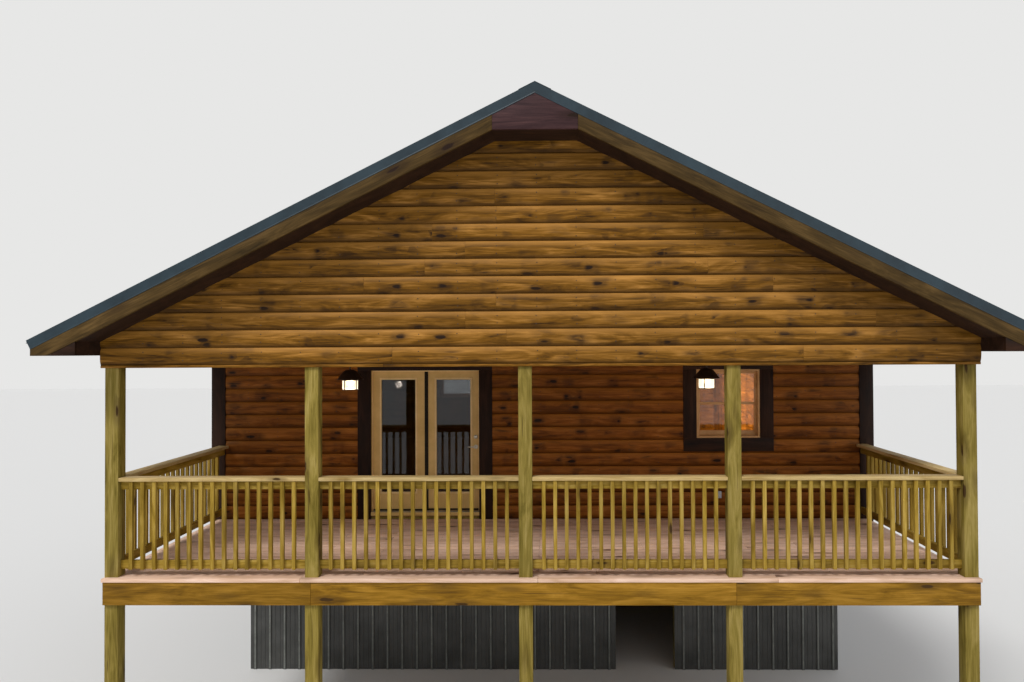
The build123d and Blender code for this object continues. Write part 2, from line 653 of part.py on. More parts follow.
# Skirt: ribbed metal on a frame round the crawl space, with an open doorway
def skirt_wall(x0, x1, z0, z1):
    """Ribbed skirt along X between two heights, its ribs towards -Y."""
    outline = [(x0, SKIRT_THICKNESS), (x0, 0)]
    first = floor(x0 / RIB_PITCH)
    last = floor(x1 / RIB_PITCH) + 1
    for number in range(first, last + 1):
        x = (number + 0.5) * RIB_PITCH
        if x - RIB_FOOT / 2 > x0 and x + RIB_FOOT / 2 < x1:
            outline += [(x - RIB_FOOT / 2, 0), (x - RIB_CREST / 2, -SKIRT_RIB)]
            outline += [(x + RIB_CREST / 2, -SKIRT_RIB), (x + RIB_FOOT / 2, 0)]
    outline += [(x1, 0), (x1, SKIRT_THICKNESS)]
    face = make_face(Plane.XY * Polyline(*outline, close=True))
    return Pos(0, 0, z0) * extrude(face, z1 - z0, dir=(0, 0, 1))


def skirt():
    y = SKIRT_FRONT
    save("skirt_front_left", Pos(0, y, 0) * skirt_wall(-CORE_HALF, CRAWL_LEFT, 0, JOIST_FOOT))
    save("skirt_front_right", Pos(0, y, 0) * skirt_wall(CRAWL_RIGHT, CORE_HALF, 0, JOIST_FOOT))
    save("skirt_front_header", Pos(0, y, 0) * skirt_wall(CRAWL_LEFT, CRAWL_RIGHT, CRAWL_HEAD, JOIST_FOOT))
    length = CORE_BACK - SKIRT_FRONT - 2 * SKIRT_THICKNESS
    middle = (CORE_BACK + SKIRT_FRONT) / 2
    side = skirt_wall(-length / 2, length / 2, 0, JOIST_FOOT)
    right = Pos(CORE_HALF, middle, 0) * Rot(0, 0, 90) * side
    left = Pos(-CORE_HALF, middle, 0) * Rot(0, 0, -90) * side
    save("skirt_sides", right, left)
    back = skirt_wall(-CORE_HALF, CORE_HALF, 0, JOIST_FOOT)
    save("skirt_back", Pos(0, CORE_BACK, 0) * Rot(0, 0, 180) * back)
    y0 = SKIRT_FRONT + SKIRT_THICKNESS
    y1 = y0 + RAIL_DEPTH
    left = CRAWL_LEFT - BOARD
    right = CRAWL_RIGHT + BOARD
    frame = [
        block(left, CRAWL_LEFT, y0, y1, 0, CRAWL_HEAD),
        block(CRAWL_RIGHT, right, y0, y1, 0, CRAWL_HEAD),
        block(left, right, y0, y1, CRAWL_HEAD, CRAWL_HEAD + RAIL_DEPTH),
    ]
    save("crawl_frame", fused(frame))


# Lanterns: a canopy on the ceiling, a stem, a cone shade and a glass
def lanterns():
    y = FRONT + PORCH_DEPTH / 2
    under = CEILING - PANEL
    shade_foot = CEILING - LANTERN_DROP
    shade_top = shade_foot + SHADE_HEIGHT
    bodies = []
    glasses = []
    for x in LANTERN_X:
        canopy = Pos(x, y, under - CANOPY / 2) * rounded(CANOPY_RADIUS, CANOPY)
        stem = Pos(x, y, (under + shade_top) / 2) * rounded(STEM_RADIUS, under - shade_top)
        shade = rounded(SHADE_RADIUS, SHADE_HEIGHT, SHADE_TOP_RADIUS)
        shade = Pos(x, y, shade_foot + SHADE_HEIGHT / 2) * shade
        bodies.append(fused([canopy, stem, shade]))
        glass = rounded(LANTERN_GLASS_RADIUS, LANTERN_GLASS_HEIGHT)
        glasses.append(Pos(x, y, shade_foot - LANTERN_GLASS_HEIGHT / 2) * glass)
    save("lanterns", *bodies)
    save("lantern_glass", *glasses)


def main():
    os.makedirs("parts", exist_ok=True)
    porch_posts()
    deck()
    railings()
    front_walls()
    other_walls()
    gables()
    beams_and_ceilings()
    roof()
    rakes()
    eaves()
    corner_boards()
    door()
    windows()
    floors()
    skirt()
    lanterns()


main()
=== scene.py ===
import math
import random
from itertools import pairwise

import bmesh
import bpy
from mathutils import Matrix, Vector


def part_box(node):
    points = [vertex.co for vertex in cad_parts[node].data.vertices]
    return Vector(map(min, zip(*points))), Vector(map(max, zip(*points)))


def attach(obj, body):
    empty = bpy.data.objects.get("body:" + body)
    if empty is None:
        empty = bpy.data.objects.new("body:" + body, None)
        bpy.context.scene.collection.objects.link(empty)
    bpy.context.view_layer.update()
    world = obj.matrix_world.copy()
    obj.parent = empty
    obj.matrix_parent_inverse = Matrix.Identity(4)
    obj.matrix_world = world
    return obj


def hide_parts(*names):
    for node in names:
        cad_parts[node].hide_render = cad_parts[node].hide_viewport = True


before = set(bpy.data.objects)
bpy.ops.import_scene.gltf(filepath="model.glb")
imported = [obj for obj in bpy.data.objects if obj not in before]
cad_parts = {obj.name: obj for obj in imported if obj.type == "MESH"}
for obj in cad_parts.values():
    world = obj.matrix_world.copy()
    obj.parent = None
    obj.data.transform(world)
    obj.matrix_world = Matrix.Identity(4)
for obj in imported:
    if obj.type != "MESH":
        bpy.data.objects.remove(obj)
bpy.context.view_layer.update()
chance = random.Random(41)


# The stage: a pale floor under a pale sky-wide light, a soft key lamp from the upper left,
# and a camera that stands a little over deck height in front of the porch.
FLOOR_HALF = 90.0
FLOOR_DROP = 0.003
SKY_STRENGTH = 0.54
CAMERA_PLACE = (0.133, -13.916, 4.917)
CAMERA_YAW = math.radians(0.863)
CAMERA_RISE = math.radians(0.783)
CAMERA_ROLL = math.radians(0.272)
FOCAL_PIXELS = 755.0
PICTURE_WIDTH = 1024.0
AXIS_OFF_CENTRE = 26.3
SENSOR_WIDTH = 36.0


def tone(red, green, blue):
    """The shader's colour for the 0 to 255 values that a screen shows."""
    levels = [value / 255 for value in (red, green, blue)]
    return tuple(v / 12.92 if v <= 0.04045 else ((v + 0.055) / 1.055) ** 2.4 for v in levels) + (1.0,)


def fed(tree, node, inputs):
    """Fills a node's inputs, by name or in order, each with a value or a wire from another node."""
    for socket, value in inputs.items() if isinstance(inputs, dict) else enumerate(inputs):
        if isinstance(value, bpy.types.NodeSocket):
            tree.links.new(value, node.inputs[socket])
        else:
            node.inputs[socket].default_value = value


def wired(tree, kind, inputs, out=0, **settings):
    """A new node with its settings and inputs. Returns one of its outputs, or all of them for None."""
    node = tree.nodes.new("ShaderNode" + kind)
    for setting, value in settings.items():
        setattr(node, setting, value)
    fed(tree, node, inputs)
    return node.outputs if out is None else node.outputs[out]


def shaded(finish, inputs):
    """Fills inputs of a finish's shader."""
    fed(finish.node_tree, finish.node_tree.nodes["Principled BSDF"], inputs)
    return finish


def new_finish(name, inputs):
    finish = bpy.data.materials.new(name)
    finish.use_nodes = True
    return shaded(finish, inputs)


def in_scene(name, data):
    made = bpy.data.objects.new(name, data)
    bpy.context.scene.collection.objects.link(made)
    return made


def lamp(name, kind, energy, **settings):
    light = bpy.data.lights.new(name, kind)
    light.energy = energy
    for setting, value in settings.items():
        setattr(light, setting, value)
    return in_scene(name, light)


bm = bmesh.new()
bmesh.ops.create_grid(bm, x_segments=1, y_segments=1, size=FLOOR_HALF)
bmesh.ops.translate(bm, vec=(0, 0, -FLOOR_DROP), verts=bm.verts)
mesh = bpy.data.meshes.new("floor")
bm.to_mesh(mesh)
bm.free()
mesh.materials.append(new_finish("pale_floor", {"Base Color": tone(221, 220, 217), "Roughness": 0.9}))
in_scene("floor", mesh)

world = bpy.data.worlds.new("studio")
bpy.context.scene.world = world
world.use_nodes = True
tree = world.node_tree
sky = tree.nodes["Background"]
fed(tree, sky, {"Color": (0.93, 0.95, 1.0, 1.0), "Strength": SKY_STRENGTH})
backdrop = wired(tree, "Background", {"Color": tone(231, 231, 230), "Strength": 1.0})
rays = wired(tree, "LightPath", (), out=None)
bounced = wired(tree, "Math", (rays["Is Glossy Ray"], rays["Is Transmission Ray"]), operation="MAXIMUM")
seen = wired(tree, "Math", (rays["Is Camera Ray"], bounced), operation="MAXIMUM")
surround = wired(tree, "MixShader", (seen, sky.outputs[0], backdrop))
fed(tree, tree.nodes["World Output"], {"Surface": surround})

for name, strength, spread, turn in (("key", 1.95, 20, (41, 0, -28)), ("fill", 0.5, 60, (70, 0, 38))):
    sun = lamp(name, "SUN", strength, angle=math.radians(spread))
    sun.rotation_euler = [math.radians(angle) for angle in turn]

camera = in_scene("camera", bpy.data.cameras.new("camera"))
facing = Matrix.Rotation(CAMERA_YAW, 4, "Z") @ Matrix.Rotation(math.pi / 2 + CAMERA_RISE, 4, "X")
camera.matrix_world = Matrix.Translation(CAMERA_PLACE) @ facing @ Matrix.Rotation(-CAMERA_ROLL, 4, "Z")
camera.data.sensor_width = SENSOR_WIDTH
camera.data.lens = FOCAL_PIXELS / PICTURE_WIDTH * SENSOR_WIDTH
camera.data.shift_x = -AXIS_OFF_CENTRE / PICTURE_WIDTH
camera.data.clip_end = 400
bpy.context.scene.camera = camera
bpy.context.scene.view_settings.view_transform = "Standard"


# Porch posts: five square posts of new treated pine, sawn faces with eased corners, standing on the
# ground and running up past the deck to the gable beam.
POST_COUNT = 5
POST_EASE = 0.004
PINE = ((168, 147, 84), (136, 118, 52), (96, 82, 24))
PINE_KNOT = (62, 42, 16)


def timber(name, grain, tones, knot, roughness=0.6, spread=0.16, knot_size=0.030, knot_share=0.30,
           whorls_and_painted_light=False, sheen=0.12, lean=0.0, checks=0.0):
    """A wood finish with its grain along one axis, knots, and a different tone for every board.

    Whorled wood has its knots in rings along the log, a paler crest as painted highlight and a darker foot
    as painted shade in the groove. A lean turns the grain of a sloping board about Y. Checks are dark drying
    cracks along the grain.
    """
    finish = new_finish(name, {"Roughness": roughness, "Specular IOR Level": sheen})
    tree = finish.node_tree
    pale, mid, dark, knot = (tone(*levels) for levels in (*tones, knot))

    def maths(operation, first, second):
        return wired(tree, "Math", (first, second), operation=operation)

    def vectors(operation, first, second):
        return wired(tree, "VectorMath", (first, second), operation=operation)

    def ranged(value, low, high, to_low=0.0, to_high=1.0):
        limits = (value, low, high, to_low, to_high)
        return wired(tree, "MapRange", limits, interpolation_type="SMOOTHSTEP")

    def mixed(factor, first, second):
        return wired(tree, "Mix", {"Factor": factor, 6: first, 7: second}, 2, data_type="RGBA")

    def stretched(along, aside):
        scale = [along if axis == grain else aside for axis in "XYZ"]
        return wired(tree, "Mapping", {"Vector": moved, "Scale": scale})

    def noise(vector, detail, distortion):
        return wired(tree, "TexNoise", {"Vector": vector, "Scale": 1.0, "Detail": detail, "Roughness": 0.62,
                                        "Distortion": distortion}, out=None)

    board = wired(tree, "Attribute", (), "Fac", attribute_name="board")
    place = wired(tree, "TexCoord", (), "Object")
    leant = wired(tree, "Mapping", {"Vector": place, "Rotation": (0, lean, 0)})
    moved = vectors("ADD", leant, vectors("MULTIPLY", board, (37.0, 53.0, 71.0)))

    broad = noise(stretched(1.3, 9.0), 4.0, 1.2)
    fine = noise(stretched(3.2, 130.0), 5.0, 0.3)
    grained = maths("ADD", maths("MULTIPLY", broad["Fac"], 0.62), maths("MULTIPLY", fine["Fac"], 0.38))
    colour = ramped(tree, grained, (0.36, dark), (0.66, pale), (0.50, mid))

    knots_along, knots_aside = (5.0, 14.0) if whorls_and_painted_light else (2.0, 7.0)
    wander = wired(tree, "VectorMath", {0: broad["Color"], "Scale": 0.35}, operation="SCALE")
    bent = vectors("ADD", stretched(knots_along, knots_aside), wander)
    cells = wired(tree, "TexVoronoi", {"Vector": bent, "Scale": 1.0}, out=None)
    reach = knot_size * knots_aside
    heart = ranged(cells["Distance"], reach * 0.5, reach, 1.0, 0.0)
    halo = ranged(cells["Distance"], reach * 0.8, reach * 2.4, 0.45, 0.0)
    kept = maths("LESS_THAN", wired(tree, "SeparateColor", [cells["Color"]], "Red"), knot_share)
    if whorls_and_painted_light:
        way = wired(tree, "SeparateXYZ", [moved], grain)
        ring = wired(tree, "TexVoronoi", {"Scale": 2.1, "W": way}, "Distance", voronoi_dimensions="1D")
        kept = maths("MULTIPLY", kept, ranged(ring, 0.10, 0.22, 1.0, 0.0))
        smoke = maths("MULTIPLY", ranged(broad["Fac"], 0.50, 0.72), ranged(ring, 0.05, 0.42, 0.95, 0.0))
        colour = mixed(smoke, colour, knot)
    colour = mixed(maths("MULTIPLY", maths("MAXIMUM", heart, halo), kept), colour, knot)
    relief = maths("SUBTRACT", fine["Fac"], maths("MULTIPLY", heart, kept))
    if checks:
        crack = noise(stretched(1.1, 34.0), 2.0, 0.15)
        opened = ranged(crack["Fac"], 0.66, 0.71, 0.0, checks)
        colour = mixed(opened, colour, knot)
        relief = maths("SUBTRACT", relief, opened)
    # Painted highlight on each log's crest and painted shade at its foot, where the courses meet.
    if whorls_and_painted_light:
        rise = wired(tree, "Attribute", (), "Fac", attribute_name="rise")
        shade = maths("MULTIPLY", ranged(rise, 0.02, 0.34, 0.75, 0.0), maths("GREATER_THAN", rise, 0.0001))
        colour = mixed(ranged(rise, 0.55, 1.0, 0.0, 0.55), colour, pale)
        colour = mixed(shade, colour, dark)

    scatter = wired(tree, "TexWhiteNoise", {"W": board}, "Value", noise_dimensions="1D")
    age = ranged(scatter, 0.0, 1.0, 1.0 - spread, 1.0 + spread)
    return shaded(finish, {
        "Base Color": wired(tree, "HueSaturation", {"Color": colour, "Value": age}),
        "Normal": wired(tree, "Bump", {"Strength": 0.3, "Distance": 0.003, "Height": relief})})


def ramped(tree, factor, *stops):
    """A colour ramp from (place, colour) stops, its two ends first."""
    ramp = tree.nodes.new("ShaderNodeValToRGB")
    fed(tree, ramp, {"Fac": factor})
    elements = ramp.color_ramp.elements
    for number, (place, colour) in enumerate(stops):
        stop = elements[number] if number < 2 else elements.new(place)
        stop.position, stop.color = place, colour
    return ramp.outputs["Color"]


def layer_of(bm, name):
    return bm.verts.layers.float.get(name) or bm.verts.layers.float.new(name)


def eased(bm, verts, layer, ease, segments):
    """Eases a board's edges and gives it its own number for the finish."""
    edges = list({edge for vert in verts for edge in vert.link_edges})
    made = bmesh.ops.bevel(bm, geom=edges, offset=ease, segments=segments, affect="EDGES", profile=0.5,
                           material=-1)
    verts = list({vert for face in made["faces"] for vert in face.verts})
    number = chance.random()
    for vert in verts:
        vert[layer] = number
    return verts


def add_block(bm, low, high):
    """A plain block between two corners."""
    low, high = Vector(low), Vector(high)
    place = Matrix.LocRotScale((low + high) / 2, None, high - low)
    return bmesh.ops.create_cube(bm, size=1.0, matrix=place)["verts"]


def add_board(bm, low, high, ease=0.003, segments=2):
    """One sawn board between two corners, its edges eased."""
    layer = layer_of(bm, "board")
    return eased(bm, add_block(bm, low, high), layer, ease, segments)


def boards(*corners, ease=0.003, segments=2):
    """A new bmesh with a sawn board for each pair of corners."""
    bm = bmesh.new()
    for low, high in corners:
        add_board(bm, low, high, ease, segments)
    return bm


def piece(name, bm, finish, body="cabin", replaced=(), smooth_angle=40, place=Matrix()):
    """Puts a finished bmesh in its place and turns it into a named piece that rides on a body."""
    bmesh.ops.transform(bm, matrix=place, verts=bm.verts)
    bmesh.ops.recalc_face_normals(bm, faces=bm.faces)
    mesh = bpy.data.meshes.new(name)
    bm.to_mesh(mesh)
    bm.free()
    mesh.materials.append(finish)
    mesh.shade_smooth()
    mesh.set_sharp_from_angle(angle=math.radians(smooth_angle))
    made = in_scene(name, mesh)
    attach(made, body)
    if replaced:
        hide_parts(*replaced)


def dress(finish, *names):
    """Gives CAD nodes a finish."""
    for name in names:
        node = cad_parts[name]
        node.data.materials.clear()
        node.data.materials.append(finish)


post_pine = timber("post_pine", "Z", PINE, PINE_KNOT, knot_share=0.6, checks=0.7)
for number in range(1, POST_COUNT + 1):
    name = f"porch_post_{number}"
    piece(name + "_sawn", boards(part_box(name), ease=POST_EASE), post_pine, replaced=[name])


# Deck: a rim of deep boards nailed across the posts, joists behind it, and boards laid from side to
# side with drainage gaps, each fixed with two dark coated screws over every joist.
BOARD_WIDTH = 0.1413
BOARD_GAP = 0.005
BUTT = 0.001
LEAST_STRIP = 0.02
RIM_TONES = ((164, 121, 42), (130, 93, 20), (88, 60, 8))
RIM_JOINTS = [-2.329, 2.019]
DECK_TONES = ((238, 206, 184), (222, 186, 160), (194, 156, 124))
DECK_KNOT = (92, 62, 38)
DECK_JOINTS = [-2.44, 0.0, 2.44]
JOIST_SPACING = 0.61
OUTER_JOIST = 7
SCREW_RADIUS = 0.0048
SCREW_INWARD = 0.03


def painted(name, pale, dark=None, roughness=0.45, relief=0.05, scale=6.0, metal=0.0, sheen=0.5, wear=0.12):
    """A painted or metal finish, mottled between two tones, or to a tenth darker, and scuffed a little."""
    finish = new_finish(name, {"Metallic": metal, "Specular IOR Level": sheen})
    tree = finish.node_tree
    pale = tone(*pale)
    dark = tone(*dark) if dark else (*(value * 0.9 for value in pale[:3]), 1.0)
    place = wired(tree, "TexCoord", (), "Object")
    cloud = wired(tree, "TexNoise", {"Vector": place, "Scale": scale, "Detail": 6.0, "Roughness": 0.7},
                  "Fac")
    grit = wired(tree, "TexNoise", {"Vector": place, "Scale": 260.0}, "Fac")
    scuffs = {"Value": cloud, "To Min": roughness - wear, "To Max": roughness + wear}
    return shaded(finish, {
        "Base Color": ramped(tree, cloud, (0.34, dark), (0.64, pale)),
        "Roughness": wired(tree, "MapRange", scuffs),
        "Normal": wired(tree, "Bump", {"Strength": relief, "Distance": 0.001, "Height": grit})})


def add_head(bm, centre, radius, height, top=0.7, out=False):
    """A low fastener head about a point, narrower at its top, standing up or out towards -Y."""
    turn = Matrix.Rotation(math.pi / 2 if out else 0.0, 4, "X")
    bmesh.ops.create_cone(bm, cap_ends=True, segments=8, radius1=radius, radius2=radius * top, depth=height,
                          matrix=Matrix.Translation(centre) @ turn)


rim_pine = timber("rim_pine", "X", RIM_TONES, PINE_KNOT, knot_share=0.9, checks=0.45)
low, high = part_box("deck_rim")
rim = [((x0 + BUTT, low.y, low.z), (x1 - BUTT, high.y, high.z)) for x0, x1 in
       pairwise([low.x, *RIM_JOINTS, high.x])]
piece("rim_boards", boards(*rim), rim_pine, replaced=["deck_rim"])

joist_pine = timber("joist_pine", "Y", PINE, PINE_KNOT)
dress(joist_pine, "deck_joists")

deck_wood = timber("deck_wood", "X", DECK_TONES, DECK_KNOT, roughness=0.7, spread=0.1, sheen=0.3)
nail_steel = painted("nail_steel", (52, 38, 26), (24, 17, 12), roughness=0.55)
low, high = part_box("decking")
bm, screws = bmesh.new(), bmesh.new()
for row in range(math.ceil((high.y - LEAST_STRIP - low.y) / (BOARD_WIDTH + BOARD_GAP))):
    y = low.y + row * (BOARD_WIDTH + BOARD_GAP)
    shift = JOIST_SPACING * (row % 2)
    for x0, x1 in pairwise([low.x, *(x + shift for x in DECK_JOINTS), high.x]):
        add_board(bm, (x0 + BUTT, y, low.z), (x1 - BUTT, min(y + BOARD_WIDTH, high.y), high.z), ease=0.004)
    for joist in range(-OUTER_JOIST, OUTER_JOIST + 1):
        for screw_y in (y + SCREW_INWARD, y + BOARD_WIDTH - SCREW_INWARD):
            if row and screw_y < high.y - 0.01:
                add_head(screws, (joist * JOIST_SPACING, screw_y, high.z), SCREW_RADIUS, 0.002)
piece("deck_boards_laid", bm, deck_wood, replaced=["decking"])
piece("deck_screws", screws, nail_steel)


# Railings: a flat cap board over two rails on edge, with square balusters nailed to the rails' outer
# faces, all of the same treated pine as the posts, the caps paler as a painted highlight.
BALUSTER = 0.038
BALUSTER_FACE = 0.012
BALUSTER_PITCH = 0.121
CAP = 0.038
RAIL_DEPTH = 0.089
POST_WIDTH = 0.14
SIDES = ((1, "right"), (-1, "left"))
RAIL_TONES = ((178, 150, 78), (148, 120, 44), (106, 82, 16))
# The caps' paler tones are a painted highlight of the lit cap, over the same pine as the rails.
CAP_PAINTED_HIGHLIGHT_TONES = ((204, 180, 130), (182, 156, 104), (144, 116, 66))
front_pines, side_pines = (
    (timber(f"rail_pine_{word}", grain, RAIL_TONES, PINE_KNOT),
     timber(f"cap_pine_painted_highlight_{word}", grain, CAP_PAINTED_HIGHLIGHT_TONES, PINE_KNOT, knot_size=0.018))
    for word, grain in (("front", "X"), ("sides", "Y")))
baluster_pine = timber("baluster_pine", "Z", RAIL_TONES, PINE_KNOT)


def standing(x, y, degrees):
    """A place on the plan, turned about the upright."""
    return Matrix.Translation((x, y, 0)) @ Matrix.Rotation(math.radians(degrees), 4, "Z")


def lay_railing(word, node, length, width, place, pines):
    """One panel as its cap, its rails and its balusters, along X from 0 with its outer side to -Y."""
    low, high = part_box(node)
    under_cap, rail_y = high.z - CAP, BALUSTER_FACE + BALUSTER
    cap = boards(((0, 0, under_cap), (length, width, high.z)), ease=0.005)
    rails = boards(*[((BUTT, rail_y, foot), (length - BUTT, rail_y + CAP, foot + RAIL_DEPTH))
                     for foot in (under_cap - RAIL_DEPTH, low.z)])
    bays = round(length / BALUSTER_PITCH)
    middles = [number * length / bays for number in range(1, bays)]
    balusters = boards(*[((x - BALUSTER / 2, BALUSTER_FACE, low.z), (x + BALUSTER / 2, rail_y, under_cap))
                         for x in middles], ease=0.002, segments=1)
    piece(f"cap_{word}", cap, pines[1], place=place)
    piece(f"rails_{word}", rails, pines[0], replaced=[node], place=place)
    piece(f"balusters_{word}", balusters, baluster_pine, place=place)


for number in range(1, POST_COUNT):
    node = f"railing_front_{number}"
    low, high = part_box(node)
    corner = standing(low.x, low.y, 0)
    lay_railing(f"front_{number}", node, high.x - low.x, high.y - low.y, corner, front_pines)

low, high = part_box("railing_sides")
for side, word in SIDES:
    corner = standing(side * high.x, low.y if side > 0 else high.y, side * 90)
    lay_railing(word, "railing_sides", high.y - low.y, POST_WIDTH, corner, side_pines)


# Log cladding: half-round pine logs in courses, stained amber on the gables and redder under the porch as
# painted warm shade on the same stain, in lengths that butt end to end, nailed over the walls' framing.
COURSE = 0.181
LOG_CREST = 0.0315
LOG_FOOT = 0.0065
LOG_SEAM = 0.0012
LONGEST_LOG = 5.2
DECK_TOP = 2.6
CEILING = 5.04
GABLE_FOOT = 4.788
SOFFIT = 4.895
JOIST_FOOT = 2.393
ROOF_APEX = 7.5226
SLOPE = 0.5
PITCH = math.atan(SLOPE)
UNDER_BARGE = 0.206
GUSSET_HALF = 0.42
HEAD = 4.658
BEHIND_TRIM = 0.09
FRONT = -6.15
CORE_FRONT = -3.42
CORE_BACK = 6.12
CORE_HALF = 4.542
CORE_MIDDLE = (CORE_FRONT + CORE_BACK) / 2
HOUSE_HALF = 4.572
BEAM_SIDE = 4.517
CORNER_IN = 4.388
SIDE_LOGS_HALF = 4.616
STRIP_HALF = 4.515
STRIP_FOOT = 4.764
WINDOW_WIDTH = 0.872
WINDOW_FOOT = HEAD - 0.947
DOOR_OPENING = (-2.356, -0.852, DECK_TOP, HEAD)
WINDOWS = {"porch": [2.591], "back": [-2.3, 2.3], "right": [-2.385, 2.385], "left": [-2.385, 2.385]}
ON_WALL = {
    "porch": standing(0, CORE_FRONT, 0),
    "back": standing(0, CORE_BACK, 180),
    "right": standing(CORE_HALF, CORE_MIDDLE, 90),
    "left": standing(-CORE_HALF, CORE_MIDDLE, -90),
    "gable": standing(0, FRONT, 0),
}
AMBER = ((182, 129, 60), (118, 78, 16), (54, 32, 3))
# The porch wall's redder tones are painted warm shade under the porch roof, over the gables' stain.
RUSSET_PAINTED_SHADE = ((166, 104, 42), (128, 72, 18), (72, 38, 5))
LOG_KNOT = (34, 20, 10)


def roof_z(x, depth):
    """Height of a layer that far under the roof surface."""
    return ROOF_APEX - SLOPE * abs(x) - depth / math.cos(PITCH)


def pulled(bm, face, vec):
    """Pulls a face out along a vector, and returns the points of the solid that it makes."""
    near = list(face.verts)
    grown = bmesh.ops.extrude_face_region(bm, geom=[face], use_keep_orig=True)
    far = [g for g in grown["geom"] if isinstance(g, bmesh.types.BMVert)]
    bmesh.ops.translate(bm, vec=vec, verts=far)
    return near + far


def add_log(bm, x0, x1, foot):
    """One half-round log along X with its back on Y = 0, towards -Y."""
    layer, rise = layer_of(bm, "board"), layer_of(bm, "rise")
    disc = bmesh.ops.create_circle(bm, cap_ends=True, segments=28, radius=1.0)["verts"]
    bmesh.ops.rotate(bm, verts=disc, matrix=Matrix.Rotation(math.pi / 2, 3, "Y"))
    bmesh.ops.scale(bm, vec=(1, LOG_CREST - LOG_FOOT, COURSE / 2), verts=disc)
    face = disc[0].link_faces[0]
    half = bmesh.ops.bisect_plane(bm, geom=[face, *face.edges, *face.verts], dist=1e-6, plane_co=(0, 0, 0),
                                  plane_no=(0, 1, 0), clear_outer=True)
    end = next(g for g in half["geom"] if isinstance(g, bmesh.types.BMFace))
    log = pulled(bm, end, (x1 - x0 - 2 * LOG_SEAM, 0, 0))
    bmesh.ops.translate(bm, vec=(x0 + LOG_SEAM, -LOG_FOOT, foot + COURSE / 2), verts=log)
    number = chance.random()
    for vert in log:
        vert[layer] = number
        vert[rise] = (vert.co.z - foot) / COURSE + 0.001


def log_lengths(start, end):
    """Splits a run of wall into logs, with their joints where chance puts them."""
    cuts = [start]
    while end - cuts[-1] > LONGEST_LOG:
        cuts.append(cuts[-1] + chance.uniform(2.4, 4.4))
    return list(pairwise([*cuts, end]))


def trim_to(bm, co, no):
    """Cuts off what lies on the outer side of a plane, and closes the cut."""
    cut = bmesh.ops.bisect_plane(bm, geom=[*bm.verts, *bm.edges, *bm.faces], dist=1e-6, plane_co=co,
                                 plane_no=no, clear_outer=True)
    bmesh.ops.holes_fill(bm, edges=[g for g in cut["geom_cut"] if isinstance(g, bmesh.types.BMEdge)])


def clad(half, low_z, high_z, base, openings=()):
    """Courses along X between two heights, stopping behind the trim of each (x0, x1, z0, z1) opening."""
    bm = bmesh.new()
    first = math.floor((low_z - base) / COURSE + 0.01)
    last = math.ceil((high_z - base) / COURSE - 0.01)
    for number in range(first, last):
        foot = base + number * COURSE
        runs = [(-half, half)]
        for x0, x1, z0, z1 in openings:
            if foot < z1 and foot + COURSE > z0:
                parts = [(start, min(end, x0 - BEHIND_TRIM)) for start, end in runs]
                parts += [(max(start, x1 + BEHIND_TRIM), end) for start, end in runs]
                runs = [(start, end) for start, end in parts if end - start > 0.01]
        for start, end in runs:
            for x0, x1 in log_lengths(start, end):
                add_log(bm, x0, x1, foot)
    trim_to(bm, (0, 0, low_z), (0, 0, -1))
    trim_to(bm, (0, 0, high_z), (0, 0, 1))
    return bm


def window_openings(wall):
    return [(x - WINDOW_WIDTH / 2, x + WINDOW_WIDTH / 2, WINDOW_FOOT, HEAD) for x in WINDOWS.get(wall, [])]


amber_x, amber_y, russet_painted_shade_x = (
    timber(name, grain, tones, LOG_KNOT, roughness=0.5, spread=spread, whorls_and_painted_light=True, knot_share=share)
    for name, grain, tones, spread, share in (
        ("amber_logs", "X", AMBER, 0.1, 0.42), ("amber_side_logs", "Y", AMBER, 0.1, 0.42),
        ("russet_painted_shade_logs", "X", RUSSET_PAINTED_SHADE, 0.12, 0.62)))
dress(amber_x, "front_gable", "back_gable", "back_wall")
dress(amber_y, "left_wall", "right_wall")
dress(russet_painted_shade_x, "front_wall_left", "front_wall_right", "front_wall_header")

barge_foot = roof_z(GUSSET_HALF, UNDER_BARGE)
for name, half, wall in (("front_gable_logs", BEAM_SIDE, "gable"), ("back_gable_logs", HOUSE_HALF, "back")):
    bm = clad(half, GABLE_FOOT, barge_foot, GABLE_FOOT)
    for side in (-1, 1):
        trim_to(bm, (0, 0, roof_z(0, UNDER_BARGE)), Vector((side * SLOPE, 0, 1)).normalized())
    piece(name, bm, amber_x, place=ON_WALL[wall])

strip = [((x0 + BUTT, FRONT - 0.026, STRIP_FOOT), (x1 - BUTT, FRONT - 0.0005, GABLE_FOOT + 0.004))
         for x0, x1 in log_lengths(-STRIP_HALF, STRIP_HALF)]
piece("gable_starter_strip", boards(*strip, ease=0.004), amber_x)

CLAD_WALLS = (("porch", CORNER_IN, DECK_TOP, CEILING, DECK_TOP, [DOOR_OPENING]),
              ("back", CORNER_IN, JOIST_FOOT, GABLE_FOOT, DECK_TOP, []),
              ("right", SIDE_LOGS_HALF, JOIST_FOOT, SOFFIT, DECK_TOP, []),
              ("left", SIDE_LOGS_HALF, JOIST_FOOT, SOFFIT, DECK_TOP, []))
for (wall, *sizes, doors), finish in zip(CLAD_WALLS, (russet_painted_shade_x, amber_x, amber_y, amber_y)):
    bm = clad(*sizes, window_openings(wall) + doors)
    piece(f"{wall}_wall_logs", bm, finish, place=ON_WALL[wall])


# Siding nails: two dark nail heads in each log over every stud, set a little into the stained wood,
# and none close to an opening or to the sloping barge boards.
STUD_SPACING = 0.4064
NAIL_RADIUS = 0.0065
NAIL_HEIGHT = 0.0022
NAIL_OUT = 0.0003
NAIL_RISES = (0.30, 0.72)
NAIL_WANDER = 0.008
NAIL_SHARE = 0.8
NAIL_CLEAR = 0.2
GABLE_NAILS = ("gable", 4.40, GABLE_FOOT, 7.05, GABLE_FOOT, [])


